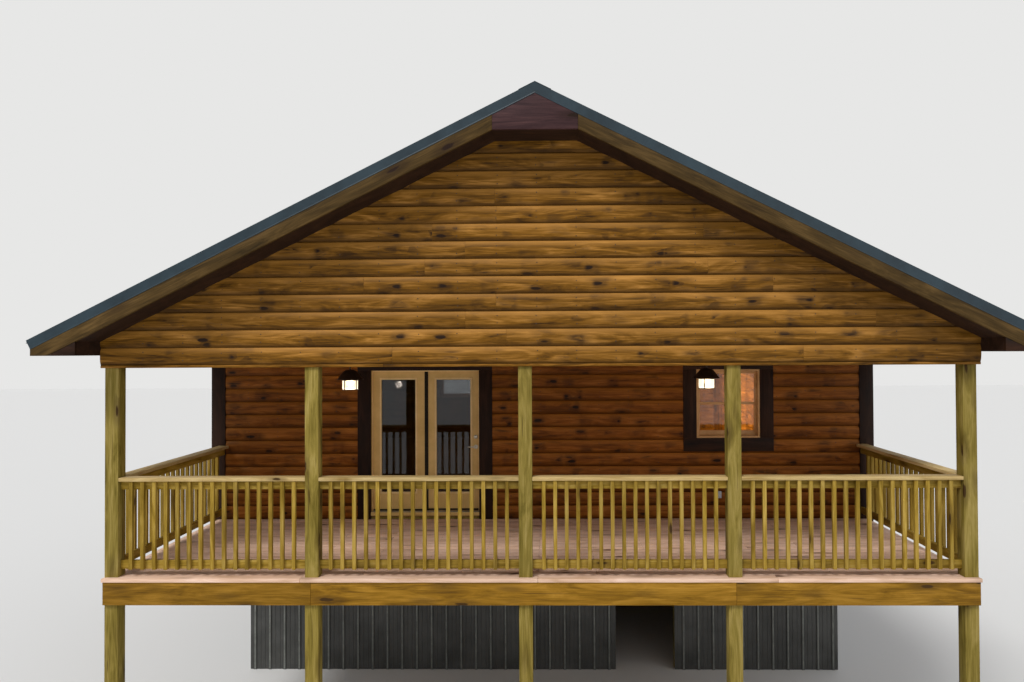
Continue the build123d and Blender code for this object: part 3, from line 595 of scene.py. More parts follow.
def log_face(rise):
    """How far a log stands out at a share of its height."""
    across = 2 * rise - 1
    return LOG_FOOT + (LOG_CREST - LOG_FOOT) * math.sqrt(1 - across * across)


def nail_fits(wall, x, z, holes):
    """Whether a nail keeps clear of the openings and of the sloping boards over the gable."""
    clear = not any(x0 - NAIL_CLEAR < x < x1 + NAIL_CLEAR and z0 - NAIL_CLEAR < z < z1 + NAIL_CLEAR
                    for x0, x1, z0, z1 in holes)
    return clear and (wall != "gable" or z <= roof_z(x, UNDER_BARGE) - 0.04)


for wall, half, low_z, high_z, base, doors in (*CLAD_WALLS, GABLE_NAILS):
    bm = bmesh.new()
    studs = math.floor((half - 0.12) / STUD_SPACING)
    for number in range(math.ceil((low_z - base) / COURSE - 0.3), math.floor((high_z - base) / COURSE)):
        for stud in range(-studs, studs + 1):
            x = stud * STUD_SPACING + chance.uniform(-NAIL_WANDER, NAIL_WANDER)
            for rise in NAIL_RISES:
                z = base + (number + rise) * COURSE + chance.uniform(-NAIL_WANDER, NAIL_WANDER)
                if nail_fits(wall, x, z, window_openings(wall) + doors) and chance.random() < NAIL_SHARE:
                    add_head(bm, (x, -log_face(rise) - NAIL_OUT, z), NAIL_RADIUS, NAIL_HEIGHT, out=True)
    piece(f"{wall}_nails", bm, nail_steel, place=ON_WALL[wall])


# Trim boards: dark stained boards round the door and the windows, and two boards at each corner of the
# house, all standing a little proud of the logs that butt against them.
TRIM_WIDTH = 0.184
TRIM_THICKNESS = 0.038
CORNER_OUT = 4.58
DARK_TONES = ((56, 34, 21), (40, 23, 13), (25, 14, 8))
DARK_KNOT = (17, 11, 8)
CORNER_BOARDS = (
    (CORNER_IN, CORNER_OUT, CORE_FRONT - TRIM_THICKNESS, CORE_FRONT, DECK_TOP, SOFFIT),
    (CORE_HALF, CORNER_OUT, CORE_FRONT + BUTT, -3.266, JOIST_FOOT, SOFFIT),
    (CORNER_IN, CORNER_OUT, CORE_BACK, CORE_BACK + TRIM_THICKNESS, JOIST_FOOT, GABLE_FOOT),
    (CORE_HALF, CORNER_OUT, 5.966, CORE_BACK - BUTT, JOIST_FOOT, SOFFIT))
dark_x, dark_z, dark_y = (timber(f"dark_{word}_boards", grain, DARK_TONES, DARK_KNOT, sheen=0.15)
                          for word, grain in (("level", "X"), ("upright", "Z"), ("side", "Y")))


def lay_trim(names, wall, opening, feet, node):
    """Level boards over, and for a window under, an opening, and the upright boards between them."""
    x0, x1, z0, z1 = opening
    level = boards(*[((x0 - TRIM_WIDTH, -TRIM_THICKNESS, z), (x1 + TRIM_WIDTH, 0, z + TRIM_WIDTH))
                     for z in feet])
    upright = boards(*[((x, -TRIM_THICKNESS, z0 + BUTT), (x + TRIM_WIDTH, 0, z1 - BUTT))
                       for x in (x0 - TRIM_WIDTH, x1)])
    along = dark_x if wall in ("porch", "back") else dark_y
    piece(names[0], level, along, replaced=[node], place=ON_WALL[wall])
    piece(names[1], upright, dark_z, place=ON_WALL[wall])


lay_trim(("door_trim_head", "door_trim_sides"), "porch", DOOR_OPENING, [HEAD], "door_trim")
for wall in WINDOWS:
    for number, opening in enumerate(window_openings(wall), start=1):
        names = [f"window_trim_{wall}_{number}_{word}" for word in ("level", "upright")]
        lay_trim(names, wall, opening, [HEAD, WINDOW_FOOT - TRIM_WIDTH], "window_trim")

corners = []
for side in (-1, 1):
    for low_x, high_x, low_y, high_y, low_z, high_z in CORNER_BOARDS:
        x0, x1 = sorted((side * low_x, side * high_x))
        corners.append(((x0, low_y, low_z), (x1, high_y, high_z)))
piece("corner_boards_sawn", boards(*corners), dark_z, replaced=["corner_boards"])


# Roof: ribbed steel sheets with small stiffening ribs between the large ones, screwed down through the
# flats in rows, and a folded ridge cap over both slopes.
RIB_PITCH = 0.229
ROOF_HALF_LENGTH = 6.6
EAVE_EDGE = 5.0
SLOPE_LENGTH = EAVE_EDGE / math.cos(PITCH) - 0.010
SMALL_RIBS_START = 0.17
SMALL_RIB_ASIDE = 0.038
SMALL_RIB_HALF = 0.011
SMALL_RIB_HEIGHT = 0.005
SMALL_RIB_TAPER = 0.55
SCREW_ROWS = 9
SCREW_START = 0.24
SCREW_ASIDE = 0.078
slate = painted("roof_slate", (42, 58, 66), (30, 43, 50), roughness=0.42, relief=0.03, scale=2.2, sheen=0.28)
screw_steel = painted("screw_steel", (86, 96, 100), (56, 66, 70), roughness=0.4, metal=0.6)
dress(slate, "roof_left", "roof_right", "ridge_cap")
dress(timber("sheathing_wood", "X", PINE, PINE_KNOT), "roof_sheathing")


def on_slope(side):
    """Takes X down a slope from the ridge, Y along the ridge and Z out of the roof."""
    placed = Matrix.Translation((0, 0, ROOF_APEX)) @ Matrix.Rotation(PITCH, 4, "Y")
    return placed if side > 0 else Matrix.Scale(-1, 4, (1, 0, 0)) @ placed


def add_small_rib(bm, y):
    """A low trapezoid rib down a slope, with closed ends."""
    for vert in add_block(bm, (SMALL_RIBS_START, y - SMALL_RIB_HALF, -0.002),
                          (SLOPE_LENGTH - BUTT, y + SMALL_RIB_HALF, SMALL_RIB_HEIGHT)):
        if vert.co.z > 0:
            vert.co.y = y + (vert.co.y - y) * SMALL_RIB_TAPER


for side, word in SIDES:
    ribs, screws = bmesh.new(), bmesh.new()
    bays = math.floor(ROOF_HALF_LENGTH / RIB_PITCH - 0.5)
    for bay in range(-bays, bays):
        middle = (bay + 0.5) * RIB_PITCH
        add_small_rib(ribs, middle - SMALL_RIB_ASIDE)
        add_small_rib(ribs, middle + SMALL_RIB_ASIDE)
        for row in range(SCREW_ROWS):
            x = SCREW_START + row * (SLOPE_LENGTH - SCREW_START - 0.1) / (SCREW_ROWS - 1)
            add_head(screws, (x, middle + SCREW_ASIDE, 0.003), 0.0085, 0.007, top=0.0045 / 0.0085)
    piece(f"roof_small_ribs_{word}", ribs, slate, place=on_slope(side))
    piece(f"roof_screws_{word}", screws, screw_steel, place=on_slope(side))


# Rake trim: folded steel over the roof's edge, with a flange on top, a tall face and a rolled hem that
# kicks out at its foot, mitred at the ridge.
RAKE_PROFILE = ((0.070, 0.0184), (0.070, 0.0216), (0.004, 0.0216), (0.003, 0.020), (0.003, -0.066),
                (0.0004, -0.072), (0.0004, -0.077), (0.010, -0.0776))
RAKE_SHEET = 0.0016
PAST_RIDGE = 0.2
ENDS = ((1, "front", standing(0, 0, 0)), (-1, "back", standing(0, 0, 180)))


def folded_rake(side):
    """The folded sheet on one half of the front rake, cut on the middle line."""
    bm = bmesh.new()
    row = [bm.verts.new((-PAST_RIDGE, -ROOF_HALF_LENGTH + inward, rise)) for inward, rise in RAKE_PROFILE]
    grown = bmesh.ops.extrude_edge_only(bm, edges=[bm.edges.new(pair) for pair in pairwise(row)])
    far = [g for g in grown["geom"] if isinstance(g, bmesh.types.BMVert)]
    bmesh.ops.translate(bm, vec=(SLOPE_LENGTH + PAST_RIDGE - BUTT, 0, 0), verts=far)
    bmesh.ops.recalc_face_normals(bm, faces=bm.faces)
    bmesh.ops.solidify(bm, geom=list(bm.faces), thickness=RAKE_SHEET)
    bmesh.ops.transform(bm, matrix=on_slope(side), verts=bm.verts)
    trim_to(bm, (0, 0, 0), (-side, 0, 0))
    return bm


for side, word in SIDES:
    for end, where, turned in ENDS:
        piece(f"rake_trim_{where}_{word}", folded_rake(side * end), slate,
              replaced=["rake_trim"], smooth_angle=20, place=turned)


# Barge boards: a sloping board under each rake, butted to a level gusset board under the ridge, with a
# small dark return board that closes the end of each boxed eave.
BARGE_FRONT = -6.596
BARGE_BACK = -6.558
RETURN_INSET = 0.003
BARGE_TONES = ((100, 77, 42), (72, 54, 25), (46, 34, 13))
GUSSET_TONES = ((82, 56, 55), (62, 41, 42), (42, 26, 28))
BROWN_KNOT = (36, 22, 14)
ROOF_BUILD = 0.022
FASCIA_EDGE = 4.96
GUSSET_EDGE = GUSSET_HALF - 0.0015
barge_head = roof_z(GUSSET_HALF, ROOF_BUILD)
return_foot = (roof_z(0, UNDER_BARGE) - SOFFIT) / SLOPE
OUTLINES = {
    "gusset": [(-GUSSET_EDGE, barge_foot), (GUSSET_EDGE, barge_foot), (GUSSET_EDGE, barge_head),
               (0, roof_z(0, ROOF_BUILD)), (-GUSSET_EDGE, barge_head)],
    "barge": [(GUSSET_HALF, barge_head), (GUSSET_HALF, barge_foot), (return_foot, SOFFIT),
              (FASCIA_EDGE, SOFFIT), (FASCIA_EDGE, roof_z(FASCIA_EDGE, ROOF_BUILD))],
    "return": [(BEAM_SIDE, SOFFIT), (return_foot - 0.004, SOFFIT),
               (BEAM_SIDE, roof_z(BEAM_SIDE, UNDER_BARGE) - 0.002)],
}


def outlined(points, y0, y1):
    """A new bmesh with a board of any outline in X and Z, between two depths, with eased edges."""
    bm = bmesh.new()
    layer = layer_of(bm, "board")
    face = bm.faces.new([bm.verts.new((x, y0, z)) for x, z in points])
    eased(bm, pulled(bm, face, (0, y1 - y0, 0)), layer, 0.003, 2)
    return bm


gusset_brown = timber("gusset_board", "X", GUSSET_TONES, BROWN_KNOT)
return_brown = timber("return_boards", "X", DARK_TONES, DARK_KNOT)
for end, where, turned in ENDS:
    for part, side, word in (("gusset", 1, "middle"), *(("barge", *side) for side in SIDES),
                             *(("return", *side) for side in SIDES)):
        front = BARGE_FRONT + (RETURN_INSET if part == "return" else 0)
        bm = outlined([(side * x, z) for x, z in OUTLINES[part]], front, BARGE_BACK)
        finish = {"gusset": gusset_brown, "return": return_brown}.get(part) or timber(
            f"barge_{where}_{word}", "X", BARGE_TONES, BROWN_KNOT, lean=-side * end * PITCH)
        piece(f"{part}_{where}_{word}", bm, finish, replaced=["barge_boards"], place=turned)


# Soffits and ceilings: narrow tongued boards under the eaves, the rakes and the porch roof, with a fine
# shadow gap between them, and square beams that carry the roof over the posts.
SOFFIT_BOARD = 0.14
SOFFIT_GAP = 0.004
SHADE_BROWN = ((62, 41, 29), (45, 29, 21), (30, 19, 14))
CEILING_TONES = ((150, 104, 58), (120, 78, 38), (88, 54, 22))
CEILING_BOX = (-4.34, 4.34, -6.01, -3.45, 5.024, 5.038)
dress(timber("soffit_boards_x", "X", SHADE_BROWN, BROWN_KNOT), "rake_soffits", "front_beam", "ceilings")
dress(timber("soffit_boards_y", "Y", SHADE_BROWN, BROWN_KNOT), "boxed_eaves", "side_beams")
ceiling_pine = timber("porch_ceiling_pine", "X", CEILING_TONES, BROWN_KNOT)

x0, x1, y0, y1, z0, z1 = CEILING_BOX
rows = round((y1 - y0) / SOFFIT_BOARD)
edges = [y0 + row * (y1 - y0) / rows for row in range(rows + 1)]
ceiling = [((x0, near, z0), (x1, far - SOFFIT_GAP, z1)) for near, far in pairwise(edges)]
piece("porch_ceiling_boards", boards(*ceiling, segments=1), ceiling_pine)


# Door leaves and frame: smooth painted leaves with a raised frame round each glass, a dark weather strip
# on the centre post and a dark sweep under each leaf, both also painted shade of the gaps there, and a
# metal threshold.
LEAF_FRONT = -3.35
LEAF_BACK = -3.306
BAY_FOOT = 2.696
BAY_WIDTH = 0.732
FIXED_BAY = -2.356
HINGED_BAY = -1.584
MULLION_LEFT = -1.624
LEAF_GAP = 0.008
LEAF_SIDE = 0.128
GLASS_FOOT = 2.960
GLASS_HEAD = 4.528
BEAD = 0.025
BEAD_HEIGHT = 0.0095
STOP = 0.016
STOP_FRONT = LEAF_FRONT - 0.030
SEAL = LEAF_FRONT - 0.003
THRESHOLD_FRONT = -3.4575
DOOR_LEFT, DOOR_RIGHT = DOOR_OPENING[:2]
LEAVES = ((FIXED_BAY, "fixed", "cabin", 0.0, "glazing"),
          (HINGED_BAY, "hinged", "door", LEAF_GAP, "hinged_glass"))
almond = painted("door_almond", (222, 186, 118), (204, 168, 98), roughness=0.42, relief=0.04,
                 scale=3.0, sheen=0.3)
# This dark rubber also stands in as painted shade of the gaps at the centre post and under the leaves.
dark_rubber_and_gap_shade = painted("weather_rubber_and_gap_shade", (40, 34, 22), (22, 18, 12), roughness=0.7, sheen=0.2)
mill_metal = painted("threshold_metal", (186, 172, 142), (150, 138, 112), roughness=0.38, metal=0.3)
bead_almond = painted("bead_almond", (236, 206, 150), (222, 190, 132), roughness=0.4, sheen=0.3)
dress(almond, "door_frame", "fixed_leaf", "hinged_leaf")


def add_frame(bm, x0, x1, z0, z1, y0, y1, width, foot=None, ease=0.002, lap=0.002):
    """Four eased boards round an opening: a foot, a head and two sides between them."""
    foot = foot or width
    add_board(bm, (x0, y0, z0), (x1, y1, z0 + foot), ease=ease)
    add_board(bm, (x0, y0, z1 - width), (x1, y1, z1), ease=ease)
    for x in (x0, x1 - width):
        add_board(bm, (x, y0, z0 + foot - lap), (x + width, y1, z1 - width + lap), ease=ease)


for bay, word, body, gap, _ in LEAVES:
    end = bay + BAY_WIDTH
    for face, side, where in ((LEAF_FRONT, -1, "outer"), (LEAF_BACK, 1, "inner")):
        bm = bmesh.new()
        y0, y1 = sorted((face, face + side * BEAD_HEIGHT))
        add_frame(bm, bay + LEAF_SIDE - BEAD, end - LEAF_SIDE + BEAD, GLASS_FOOT - BEAD, GLASS_HEAD + BEAD,
                  y0, y1, BEAD, ease=0.004, lap=0)
        piece(f"{word}_lite_bead_{where}", bm, bead_almond, body=body)
    foot = BAY_FOOT + gap + BUTT
    # The dark sweep under each leaf is also painted shade of the gap over the sill.
    sweep_and_gap_shade = ((bay + gap + 0.004, LEAF_FRONT - 0.006, foot), (end - gap - 0.004, LEAF_FRONT, foot + 0.025))
    piece(f"{word}_sweep", boards(sweep_and_gap_shade, ease=0.002), dark_rubber_and_gap_shade, body=body)

# A dark strip on the centre post: a weather seal that is also painted shade of the gap between leaves.
strip = ((MULLION_LEFT + 0.002, LEAF_FRONT - 0.010, BAY_FOOT + 0.005),
         (HINGED_BAY + 0.012, SEAL, HEAD - BUTT))
piece("weather_strip_and_gap_shade", boards(strip, ease=0.002), dark_rubber_and_gap_shade)
stops = ((DOOR_LEFT, DOOR_RIGHT, HEAD - STOP, HEAD - BUTT),
         (DOOR_LEFT + 0.0005, DOOR_LEFT + 0.012, BAY_FOOT + 0.004, HEAD - STOP),
         (DOOR_RIGHT - STOP, DOOR_RIGHT - 0.0005, BAY_FOOT + 0.004, HEAD - STOP))
bm = boards(*[((x0, STOP_FRONT, z0), (x1, SEAL, z1)) for x0, x1, z0, z1 in stops], ease=0.002)
piece("door_stops", bm, bead_almond)

bm = boards(((DOOR_LEFT + BUTT, THRESHOLD_FRONT, BAY_FOOT - 0.014),
             (DOOR_RIGHT - BUTT, LEAF_FRONT - 0.012, BAY_FOOT + 0.003)))
for row in range(4):
    y = THRESHOLD_FRONT + 0.0175 + row * 0.018
    add_board(bm, (DOOR_LEFT + 0.002, y, BAY_FOOT + 0.002),
              (DOOR_RIGHT - 0.002, y + 0.007, BAY_FOOT + 0.006), ease=0.0015, segments=1)
piece("threshold_plate", bm, mill_metal)


# Door furniture: a lever on a round rose and a deadbolt above it on each face, brushed nickel, and three
# butt hinges at the centre post.
LEVER_X = -0.906
LEVER_Z = 3.586
DEADBOLT_Z = 3.724
LEVER_REACH = 0.040
LEVER_LENGTH = 0.110
GRIP_HALF = 0.009
GRIP_THICKNESS = 0.012
ROSE = ((0.0, 0.0), (0.030, 0.0), (0.030, 0.006), (0.027, 0.0095), (0.012, 0.0105), (0.0, 0.0105))
NECK = ((0.0, 0.004), (0.0095, 0.004), (0.0095, 0.036), (0.007, 0.0395), (0.0, 0.0395))
BOLT = ((0.0, 0.0), (0.030, 0.0), (0.030, 0.008), (0.026, 0.018), (0.018, 0.0215), (0.0, 0.0215))
KNUCKLE = 0.05
BARREL = ((0.0, 0.0), (0.006, 0.0), (0.007, 0.001), (0.007, 0.049), (0.006, KNUCKLE), (0.0, KNUCKLE))
HINGE_INSET = 0.25
nickel = painted("brushed_nickel", (206, 198, 182), (160, 152, 138), roughness=0.3, metal=0.85, scale=40.0)


def spun(bm, outline, centre, steps=32, turn=0.0):
    """A turned form from (radius, height) pairs about the upright, turned over about X to its centre."""
    old = set(bm.verts)
    points = [bm.verts.new((radius, 0, height)) for radius, height in outline]
    edges = [bm.edges.new(pair) for pair in pairwise(points)]
    bmesh.ops.spin(bm, geom=points + edges, cent=(0, 0, 0), axis=(0, 0, 1), angle=2 * math.pi, steps=steps,
                   use_merge=True)
    bmesh.ops.remove_doubles(bm, verts=[vert for vert in bm.verts if vert not in old], dist=1e-6)
    place = Matrix.Translation(centre) @ Matrix.Rotation(turn, 4, "X")
    bmesh.ops.transform(bm, matrix=place, verts=[vert for vert in bm.verts if vert not in old])


def add_lever(bm, face, side):
    """Rose, neck, bent grip and deadbolt on one face of the leaf."""
    for outline, z in ((ROSE, LEVER_Z), (BOLT, DEADBOLT_Z), (NECK, LEVER_Z)):
        spun(bm, outline, (LEVER_X, face, z), turn=-side * math.pi / 2)
    outer = LEVER_REACH - 0.001
    y0, y1 = sorted((face + side * (outer - GRIP_THICKNESS), face + side * outer))
    grip = add_board(bm, (LEVER_X - LEVER_LENGTH, y0, LEVER_Z - GRIP_HALF),
                     (LEVER_X + GRIP_HALF, y1, LEVER_Z + GRIP_HALF), ease=0.004, segments=3)
    for vert in grip:
        along = (LEVER_X - vert.co.x) / LEVER_LENGTH
        if along > 0.15:
            vert.co.z = LEVER_Z + (vert.co.z - LEVER_Z) * (1.0 - 0.25 * along)


bm = bmesh.new()
add_lever(bm, LEAF_FRONT, -1)
add_lever(bm, LEAF_BACK, 1)
piece("lever_and_deadbolt", bm, nickel, body="door", replaced=["door_hardware"])

leaf_half, post_half = bmesh.new(), bmesh.new()
hinge_low, hinge_high = BAY_FOOT + HINGE_INSET, HEAD - HINGE_INSET
for z in (hinge_low, (hinge_low + hinge_high) / 2, hinge_high):
    for bm, z0, x0, x1 in ((leaf_half, z + 0.0003, HINGED_BAY + 0.002, HINGED_BAY + LEAF_GAP + 0.032),
                           (post_half, z - KNUCKLE, HINGED_BAY - 0.032, HINGED_BAY - 0.002)):
        add_board(bm, (x0, LEAF_BACK, z0), (x1, LEAF_BACK + 0.003, z0 + KNUCKLE), ease=0.001, segments=1)
        spun(bm, BARREL, (HINGED_BAY, LEAF_BACK + 0.008, z0), steps=16)
piece("hinge_leaves", leaf_half, nickel, body="door")
piece("hinge_post_plates", post_half, nickel, replaced=["frame_hinges"])


# Windows: double-hung units in narrow tan frames. The upper sash sits in the outer track and the lower
# one behind it, with a deeper bottom rail, a sloping sill lip and a small lock on the meeting rail.
WINDOW_FRAME = 0.028
FRAME_FRONT = -0.030
SASH = 0.034
SASH_FOOT = 0.070
SASH_OUTER, SASH_INNER, SASH_BACK = 0.020, 0.048, 0.076
WALL_CORE = 0.114
LOCK_HALF = 0.030
SASH_LOW, SASH_HIGH = WINDOW_FOOT + WINDOW_FRAME, HEAD - WINDOW_FRAME
MEET_LOW = (SASH_LOW + SASH_HIGH - SASH) / 2
MEET_HIGH = MEET_LOW + SASH
window_tan = painted("window_tan", (206, 160, 108), (184, 136, 84), sheen=0.3)

for wall in WINDOWS:
    for number, (x0, x1, z0, z1) in enumerate(window_openings(wall), start=1):
        bm = bmesh.new()
        add_frame(bm, x0, x1, z0, z1, FRAME_FRONT, WALL_CORE, WINDOW_FRAME, ease=0.003)
        sash = (x0 + WINDOW_FRAME, x1 - WINDOW_FRAME)
        add_frame(bm, *sash, MEET_LOW, SASH_HIGH, SASH_OUTER, SASH_INNER, SASH)
        add_frame(bm, *sash, SASH_LOW, MEET_HIGH, SASH_INNER, SASH_BACK, SASH, foot=SASH_FOOT)
        add_board(bm, (x0 + 0.002, FRAME_FRONT - 0.004, z0 + 0.004), (x1 - 0.002, 0.012, z0 + 0.020))
        middle = (x0 + x1) / 2
        add_board(bm, (middle - LOCK_HALF, SASH_INNER - 0.012, MEET_HIGH),
                  (middle + LOCK_HALF, SASH_INNER + 0.014, MEET_HIGH + 0.012))
        piece(f"window_{wall}_{number}", bm, window_tan, replaced=["window_frames"],
              place=ON_WALL[wall])


# Glass: clear panes in the window sashes and a darker pane in each door leaf, with a little dust, and a
# warm lamp on in the room behind the porch window.
PANE_HALF = 0.003
PANE_SIDE = WINDOW_FRAME + SASH
PANES = ((MEET_HIGH, SASH_HIGH - SASH, (SASH_OUTER + SASH_INNER) / 2),
         (SASH_LOW + SASH_FOOT, MEET_LOW, (SASH_INNER + SASH_BACK) / 2))
LEAF_MIDDLE = (LEAF_FRONT + LEAF_BACK) / 2


def glazed(name, colour, roughness, **glow):
    finish = painted(name, colour, roughness=roughness, relief=0.0, wear=0.02, scale=1.5)
    return shaded(finish, {"Transmission Weight": 1.0, "IOR": 1.5, **glow})


window_glass = glazed("window_glass", (232, 234, 230), 0.03)
door_glass = glazed("door_glass", (104, 106, 110), 0.03)
for bay, word, body, _, node in LEAVES:
    pane = ((bay + LEAF_SIDE, LEAF_MIDDLE - PANE_HALF, GLASS_FOOT),
            (bay + BAY_WIDTH - LEAF_SIDE, LEAF_MIDDLE + PANE_HALF, GLASS_HEAD))
    bm = boards(pane, ease=0.001, segments=1)
    piece(f"{word}_leaf_pane", bm, door_glass, body=body, replaced=[node])
for wall in WINDOWS:
    panes = boards(*[((x0 + PANE_SIDE, y - PANE_HALF, z0), (x1 - PANE_SIDE, y + PANE_HALF, z1))
                     for x0, x1, *_ in window_openings(wall) for z0, z1, y in PANES], ease=0.001, segments=1)
    piece(f"panes_{wall}", panes, window_glass, place=ON_WALL[wall])

lamp("room_lamp", "AREA", 300, size=0.6, color=(1.0, 0.66, 0.38)).location = (2.9, 3.3, 4.95)


# Lanterns: a bronze ceiling canopy and stem, a wide spun shade with a rolled edge, four cage bars between
# two rings round a clear jar, and a warm bulb on its socket.
LANTERN_X = (-2.286, 2.017)
LANTERN_Y = -4.8
SHADE_FOOT = 4.585
LANTERN_WATTS = 8
GLASS_DROP = 0.125
CAGE_TURN = -27
SHADE = ((0.0, 0.120), (0.040, 0.120), (0.056, 0.116), (0.074, 0.104), (0.103, 0.072), (0.136, 0.028),
         (0.147, 0.012), (0.153, 0.009), (0.1549, 0.004), (0.153, 0.0002), (0.148, 0.001), (0.132, 0.022),
         (0.099, 0.066), (0.070, 0.096), (0.050, 0.108), (0.0, 0.110))
STEM = ((0.0, 0.443), (0.064, 0.443), (0.064, 0.432), (0.052, 0.422), (0.018, 0.4195), (0.010, 0.412),
        (0.010, 0.118), (0.0, 0.118))
SOCKET = ((0.0, 0.104), (0.020, 0.104), (0.020, 0.050), (0.024, 0.044), (0.0, 0.044))
RING = ((0.094, -0.004), (0.0995, -0.004), (0.0995, 0.005), (0.094, 0.005), (0.094, -0.004))
RING_HEIGHTS = (-0.005, -0.121)
JAR = ((0.0, -0.124), (0.078, -0.124), (0.090, -0.115), (0.092, -0.10), (0.092, 0.0), (0.088, 0.0),
       (0.088, -0.10), (0.076, -0.119), (0.0, -0.119))
BULB = ((0.0, 0.046), (0.015, 0.046), (0.017, 0.030), (0.034, 0.002), (0.042, -0.026), (0.036, -0.056),
        (0.020, -0.073), (0.0, -0.078))
bronze = painted("lantern_bronze", (66, 50, 38), (40, 29, 22), roughness=0.42, metal=0.55, scale=18.0)
# The jar's warm emission is a painted glow of the bulb's light in the glass.
jar_glass_painted_glow = glazed("lantern_jar_painted_glow", (250, 244, 232), 0.35,
                   **{"Emission Color": tone(255, 236, 206), "Emission Strength": 0.35})
lit_bulb = new_finish("lit_bulb", {"Base Color": tone(255, 240, 214), "Roughness": 0.35,
                                   "Emission Color": tone(255, 226, 178)})
tree = lit_bulb.node_tree
glow = wired(tree, "TexNoise", {"Vector": wired(tree, "TexCoord", (), "Object"), "Scale": 30.0}, "Fac")
glow = wired(tree, "MapRange", {"Value": glow, "To Min": 5.0, "To Max": 8.0})
shaded(lit_bulb, {"Emission Strength": glow})

for number, x in enumerate(LANTERN_X, start=1):
    foot = Vector((x, LANTERN_Y, SHADE_FOOT))
    bm, jar, bulb = bmesh.new(), bmesh.new(), bmesh.new()
    spun(bm, SHADE, foot, steps=48)
    spun(bm, STEM, foot)
    spun(bm, SOCKET, foot, steps=20)
    for height in RING_HEIGHTS:
        spun(bm, RING, foot + Vector((0, 0, height)), steps=36)
    for bar in range(4):
        made = add_board(bm, (0.0945, -0.007, -GLASS_DROP + 0.002), (0.0985, 0.007, 0.004), 0.001, 1)
        place = standing(0, 0, CAGE_TURN + 90 * bar)
        bmesh.ops.transform(bm, matrix=Matrix.Translation(foot) @ place, verts=made)
    piece(f"lantern_{number}_metal", bm, bronze, replaced=["lanterns"])
    spun(jar, JAR, foot, steps=40)
    piece(f"lantern_{number}_jar", jar, jar_glass_painted_glow, replaced=["lantern_glass"])
    spun(bulb, BULB, foot)
    piece(f"lantern_{number}_bulb", bulb, lit_bulb)
    holder = lamp(f"lantern_{number}_lamp", "POINT", LANTERN_WATTS, shadow_soft_size=0.05,
                  color=(1.0, 0.82, 0.66))
    holder.location = foot - Vector((0, 0, GLASS_DROP + 0.06))
    holder.visible_camera = holder.visible_glossy = False


# Skirt: charcoal ribbed steel on a pine frame round the crawl space, a paler strip on each crest as a
# painted highlight, small stiffening ribs, screws in three rows, and an open doorway framed in pine.
SKIRT_FRONT = -2.17
SKIRT_RIB = 0.019
RIB_FOOT = 0.060
CREST_HALF = 0.012
CREST_SKIN = 0.0006
SKIRT_RIB_ASIDE = 0.036
SKIRT_RIB_HALF = 0.010
SKIRT_SCREW_ASIDE = 0.07
SKIRT_EDGE = 0.02
CRAWL_LEFT, CRAWL_RIGHT, CRAWL_HEAD = 1.13, 2.04, 1.95
SIDE_HALF = (CORE_BACK - SKIRT_FRONT - 0.08) / 2
SIDE_MIDDLE = (CORE_BACK + SKIRT_FRONT) / 2
SKIRT_WALLS = {
    "front_left": (-CORE_HALF, CRAWL_LEFT, 0.0, standing(0, SKIRT_FRONT, 0)),
    "front_right": (CRAWL_RIGHT, CORE_HALF, 0.0, standing(0, SKIRT_FRONT, 0)),
    "front_header": (CRAWL_LEFT, CRAWL_RIGHT, CRAWL_HEAD, standing(0, SKIRT_FRONT, 0)),
    "back": (-CORE_HALF, CORE_HALF, 0.0, ON_WALL["back"]),
    "right": (-SIDE_HALF, SIDE_HALF, 0.0, standing(CORE_HALF, SIDE_MIDDLE, 90)),
    "left": (-SIDE_HALF, SIDE_HALF, 0.0, standing(-CORE_HALF, SIDE_MIDDLE, -90)),
}
charcoal = painted("skirt_charcoal", (70, 70, 67), (50, 50, 47), roughness=0.4, scale=2.0)
# The paler crest strips are a painted highlight where the ribs catch the light.
crest_highlight_charcoal = painted("crest_highlight_charcoal", (116, 118, 112), (86, 88, 83), roughness=0.35, scale=9.0)
dress(charcoal, "skirt_front_left", "skirt_front_right", "skirt_front_header", "skirt_sides", "skirt_back")
dress(timber("crawl_pine", "Z", PINE, PINE_KNOT), "crawl_frame")

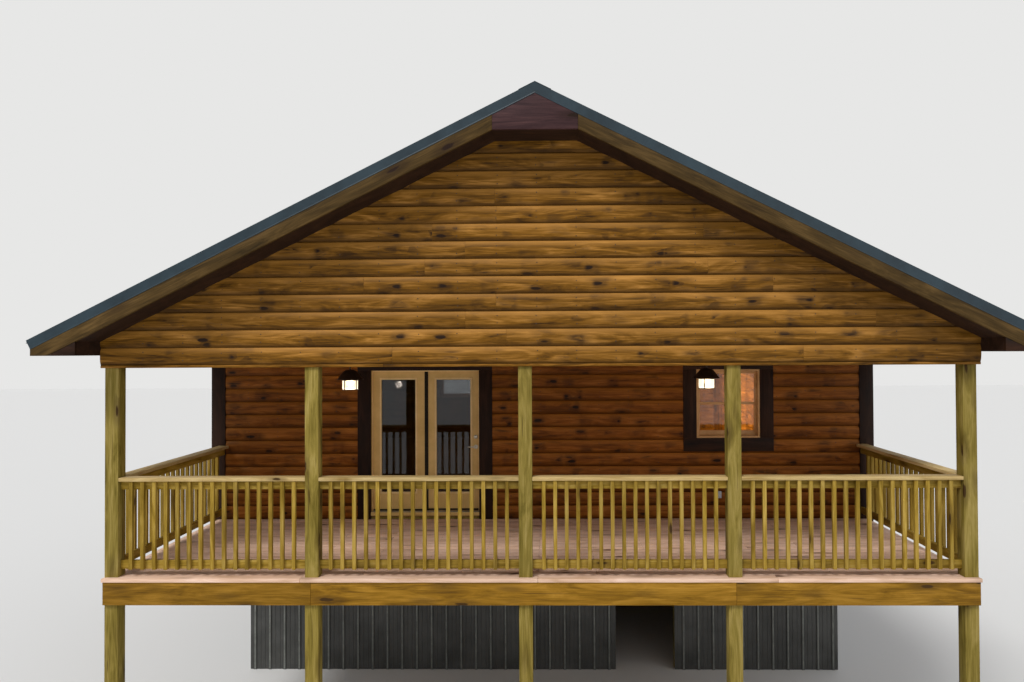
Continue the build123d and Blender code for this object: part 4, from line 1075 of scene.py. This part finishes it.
for word, (x0, x1, z0, place) in SKIRT_WALLS.items():
    ribs, screws, crests = bmesh.new(), bmesh.new(), bmesh.new()
    for bay in range(math.floor(x0 / RIB_PITCH), math.floor(x1 / RIB_PITCH) + 1):
        middle = bay * RIB_PITCH
        crest = middle + RIB_PITCH / 2
        if x0 + RIB_FOOT / 2 < crest < x1 - RIB_FOOT / 2:
            # A thin pale strip on each crest: painted highlight.
            add_board(crests, (crest - CREST_HALF, -SKIRT_RIB - CREST_SKIN, z0 + 0.002),
                      (crest + CREST_HALF, -SKIRT_RIB + CREST_SKIN, JOIST_FOOT - 0.002), 0.0005, 1)
        for x in (middle - SKIRT_RIB_ASIDE, middle + SKIRT_RIB_ASIDE):
            if x0 + SKIRT_EDGE < x < x1 - SKIRT_EDGE:
                for vert in add_block(ribs, (x - SKIRT_RIB_HALF, -0.005, z0 + 0.001),
                                      (x + SKIRT_RIB_HALF, 0.001, JOIST_FOOT - 0.001)):
                    if vert.co.y < -0.003:
                        vert.co.x = x + (vert.co.x - x) * 0.5
        x = middle + SKIRT_SCREW_ASIDE
        if x0 + 0.09 < x < x1 - SKIRT_EDGE:
            for z in (z0 + 0.08, (z0 + JOIST_FOOT) / 2, JOIST_FOOT - 0.08):
                add_head(screws, (x, -0.002, z), 0.007, 0.005, out=True)
    piece(f"skirt_small_ribs_{word}", ribs, charcoal, place=place)
    piece(f"skirt_screws_{word}", screws, screw_steel, place=place)
    piece(f"skirt_rib_crests_{word}", crests, crest_highlight_charcoal, place=place)


# Floor of the room: pine boards across the joists, in three lengths to a row with staggered joints, seen
# through the glass and from below.
FLOOR_BOARD_WIDTH = 0.13
FLOOR_SEAM = 0.0002
FLOOR_TONES = ((176, 134, 82), (150, 108, 60), (116, 78, 38))
floor_wood = timber("floor_wood", "Y", FLOOR_TONES, PINE_KNOT, roughness=0.4)
low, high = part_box("house_floor")
bm = bmesh.new()
for row in range(math.ceil((high.x - LEAST_STRIP - low.x) / FLOOR_BOARD_WIDTH)):
    x = low.x + row * FLOOR_BOARD_WIDTH
    far = min(x + FLOOR_BOARD_WIDTH, high.x) - FLOOR_SEAM
    joints = (low.y + 3.2 + 1.1 * (row % 3), low.y + 6.6 + 0.9 * (row % 2))
    for near, end in pairwise([low.y, *joints, high.y]):
        add_board(bm, (x, near, low.z), (far, end - FLOOR_SEAM, high.z), ease=0.0012, segments=1)
piece("floor_boards_laid", bm, floor_wood, replaced=["house_floor"])
dress(joist_pine, "floor_joists")


# Outlet: a small weatherproof cover of grey plastic on the porch wall, with rounded corners and a lid
# with a lip.
OUTLET_X, OUTLET_Z = 2.45, 2.93
COVER = (-0.040, 0.040, -3.460, -3.425, -0.048, 0.048, 0.008, 4)
LID = (-0.035, 0.035, -3.468, -3.459, -0.042, 0.040, 0.004, 3)
LIP = (-0.018, 0.018, -3.470, -3.466, 0.030, 0.036, 0.001, 1)
cover_grey = painted("cover_grey", (186, 192, 200), (160, 166, 174), roughness=0.5)
bm = bmesh.new()
for x0, x1, y0, y1, z0, z1, ease, segments in (COVER, LID, LIP):
    add_board(bm, (OUTLET_X + x0, y0, OUTLET_Z + z0), (OUTLET_X + x1, y1, OUTLET_Z + z1), ease, segments)
piece("outlet_cover", bm, cover_grey)
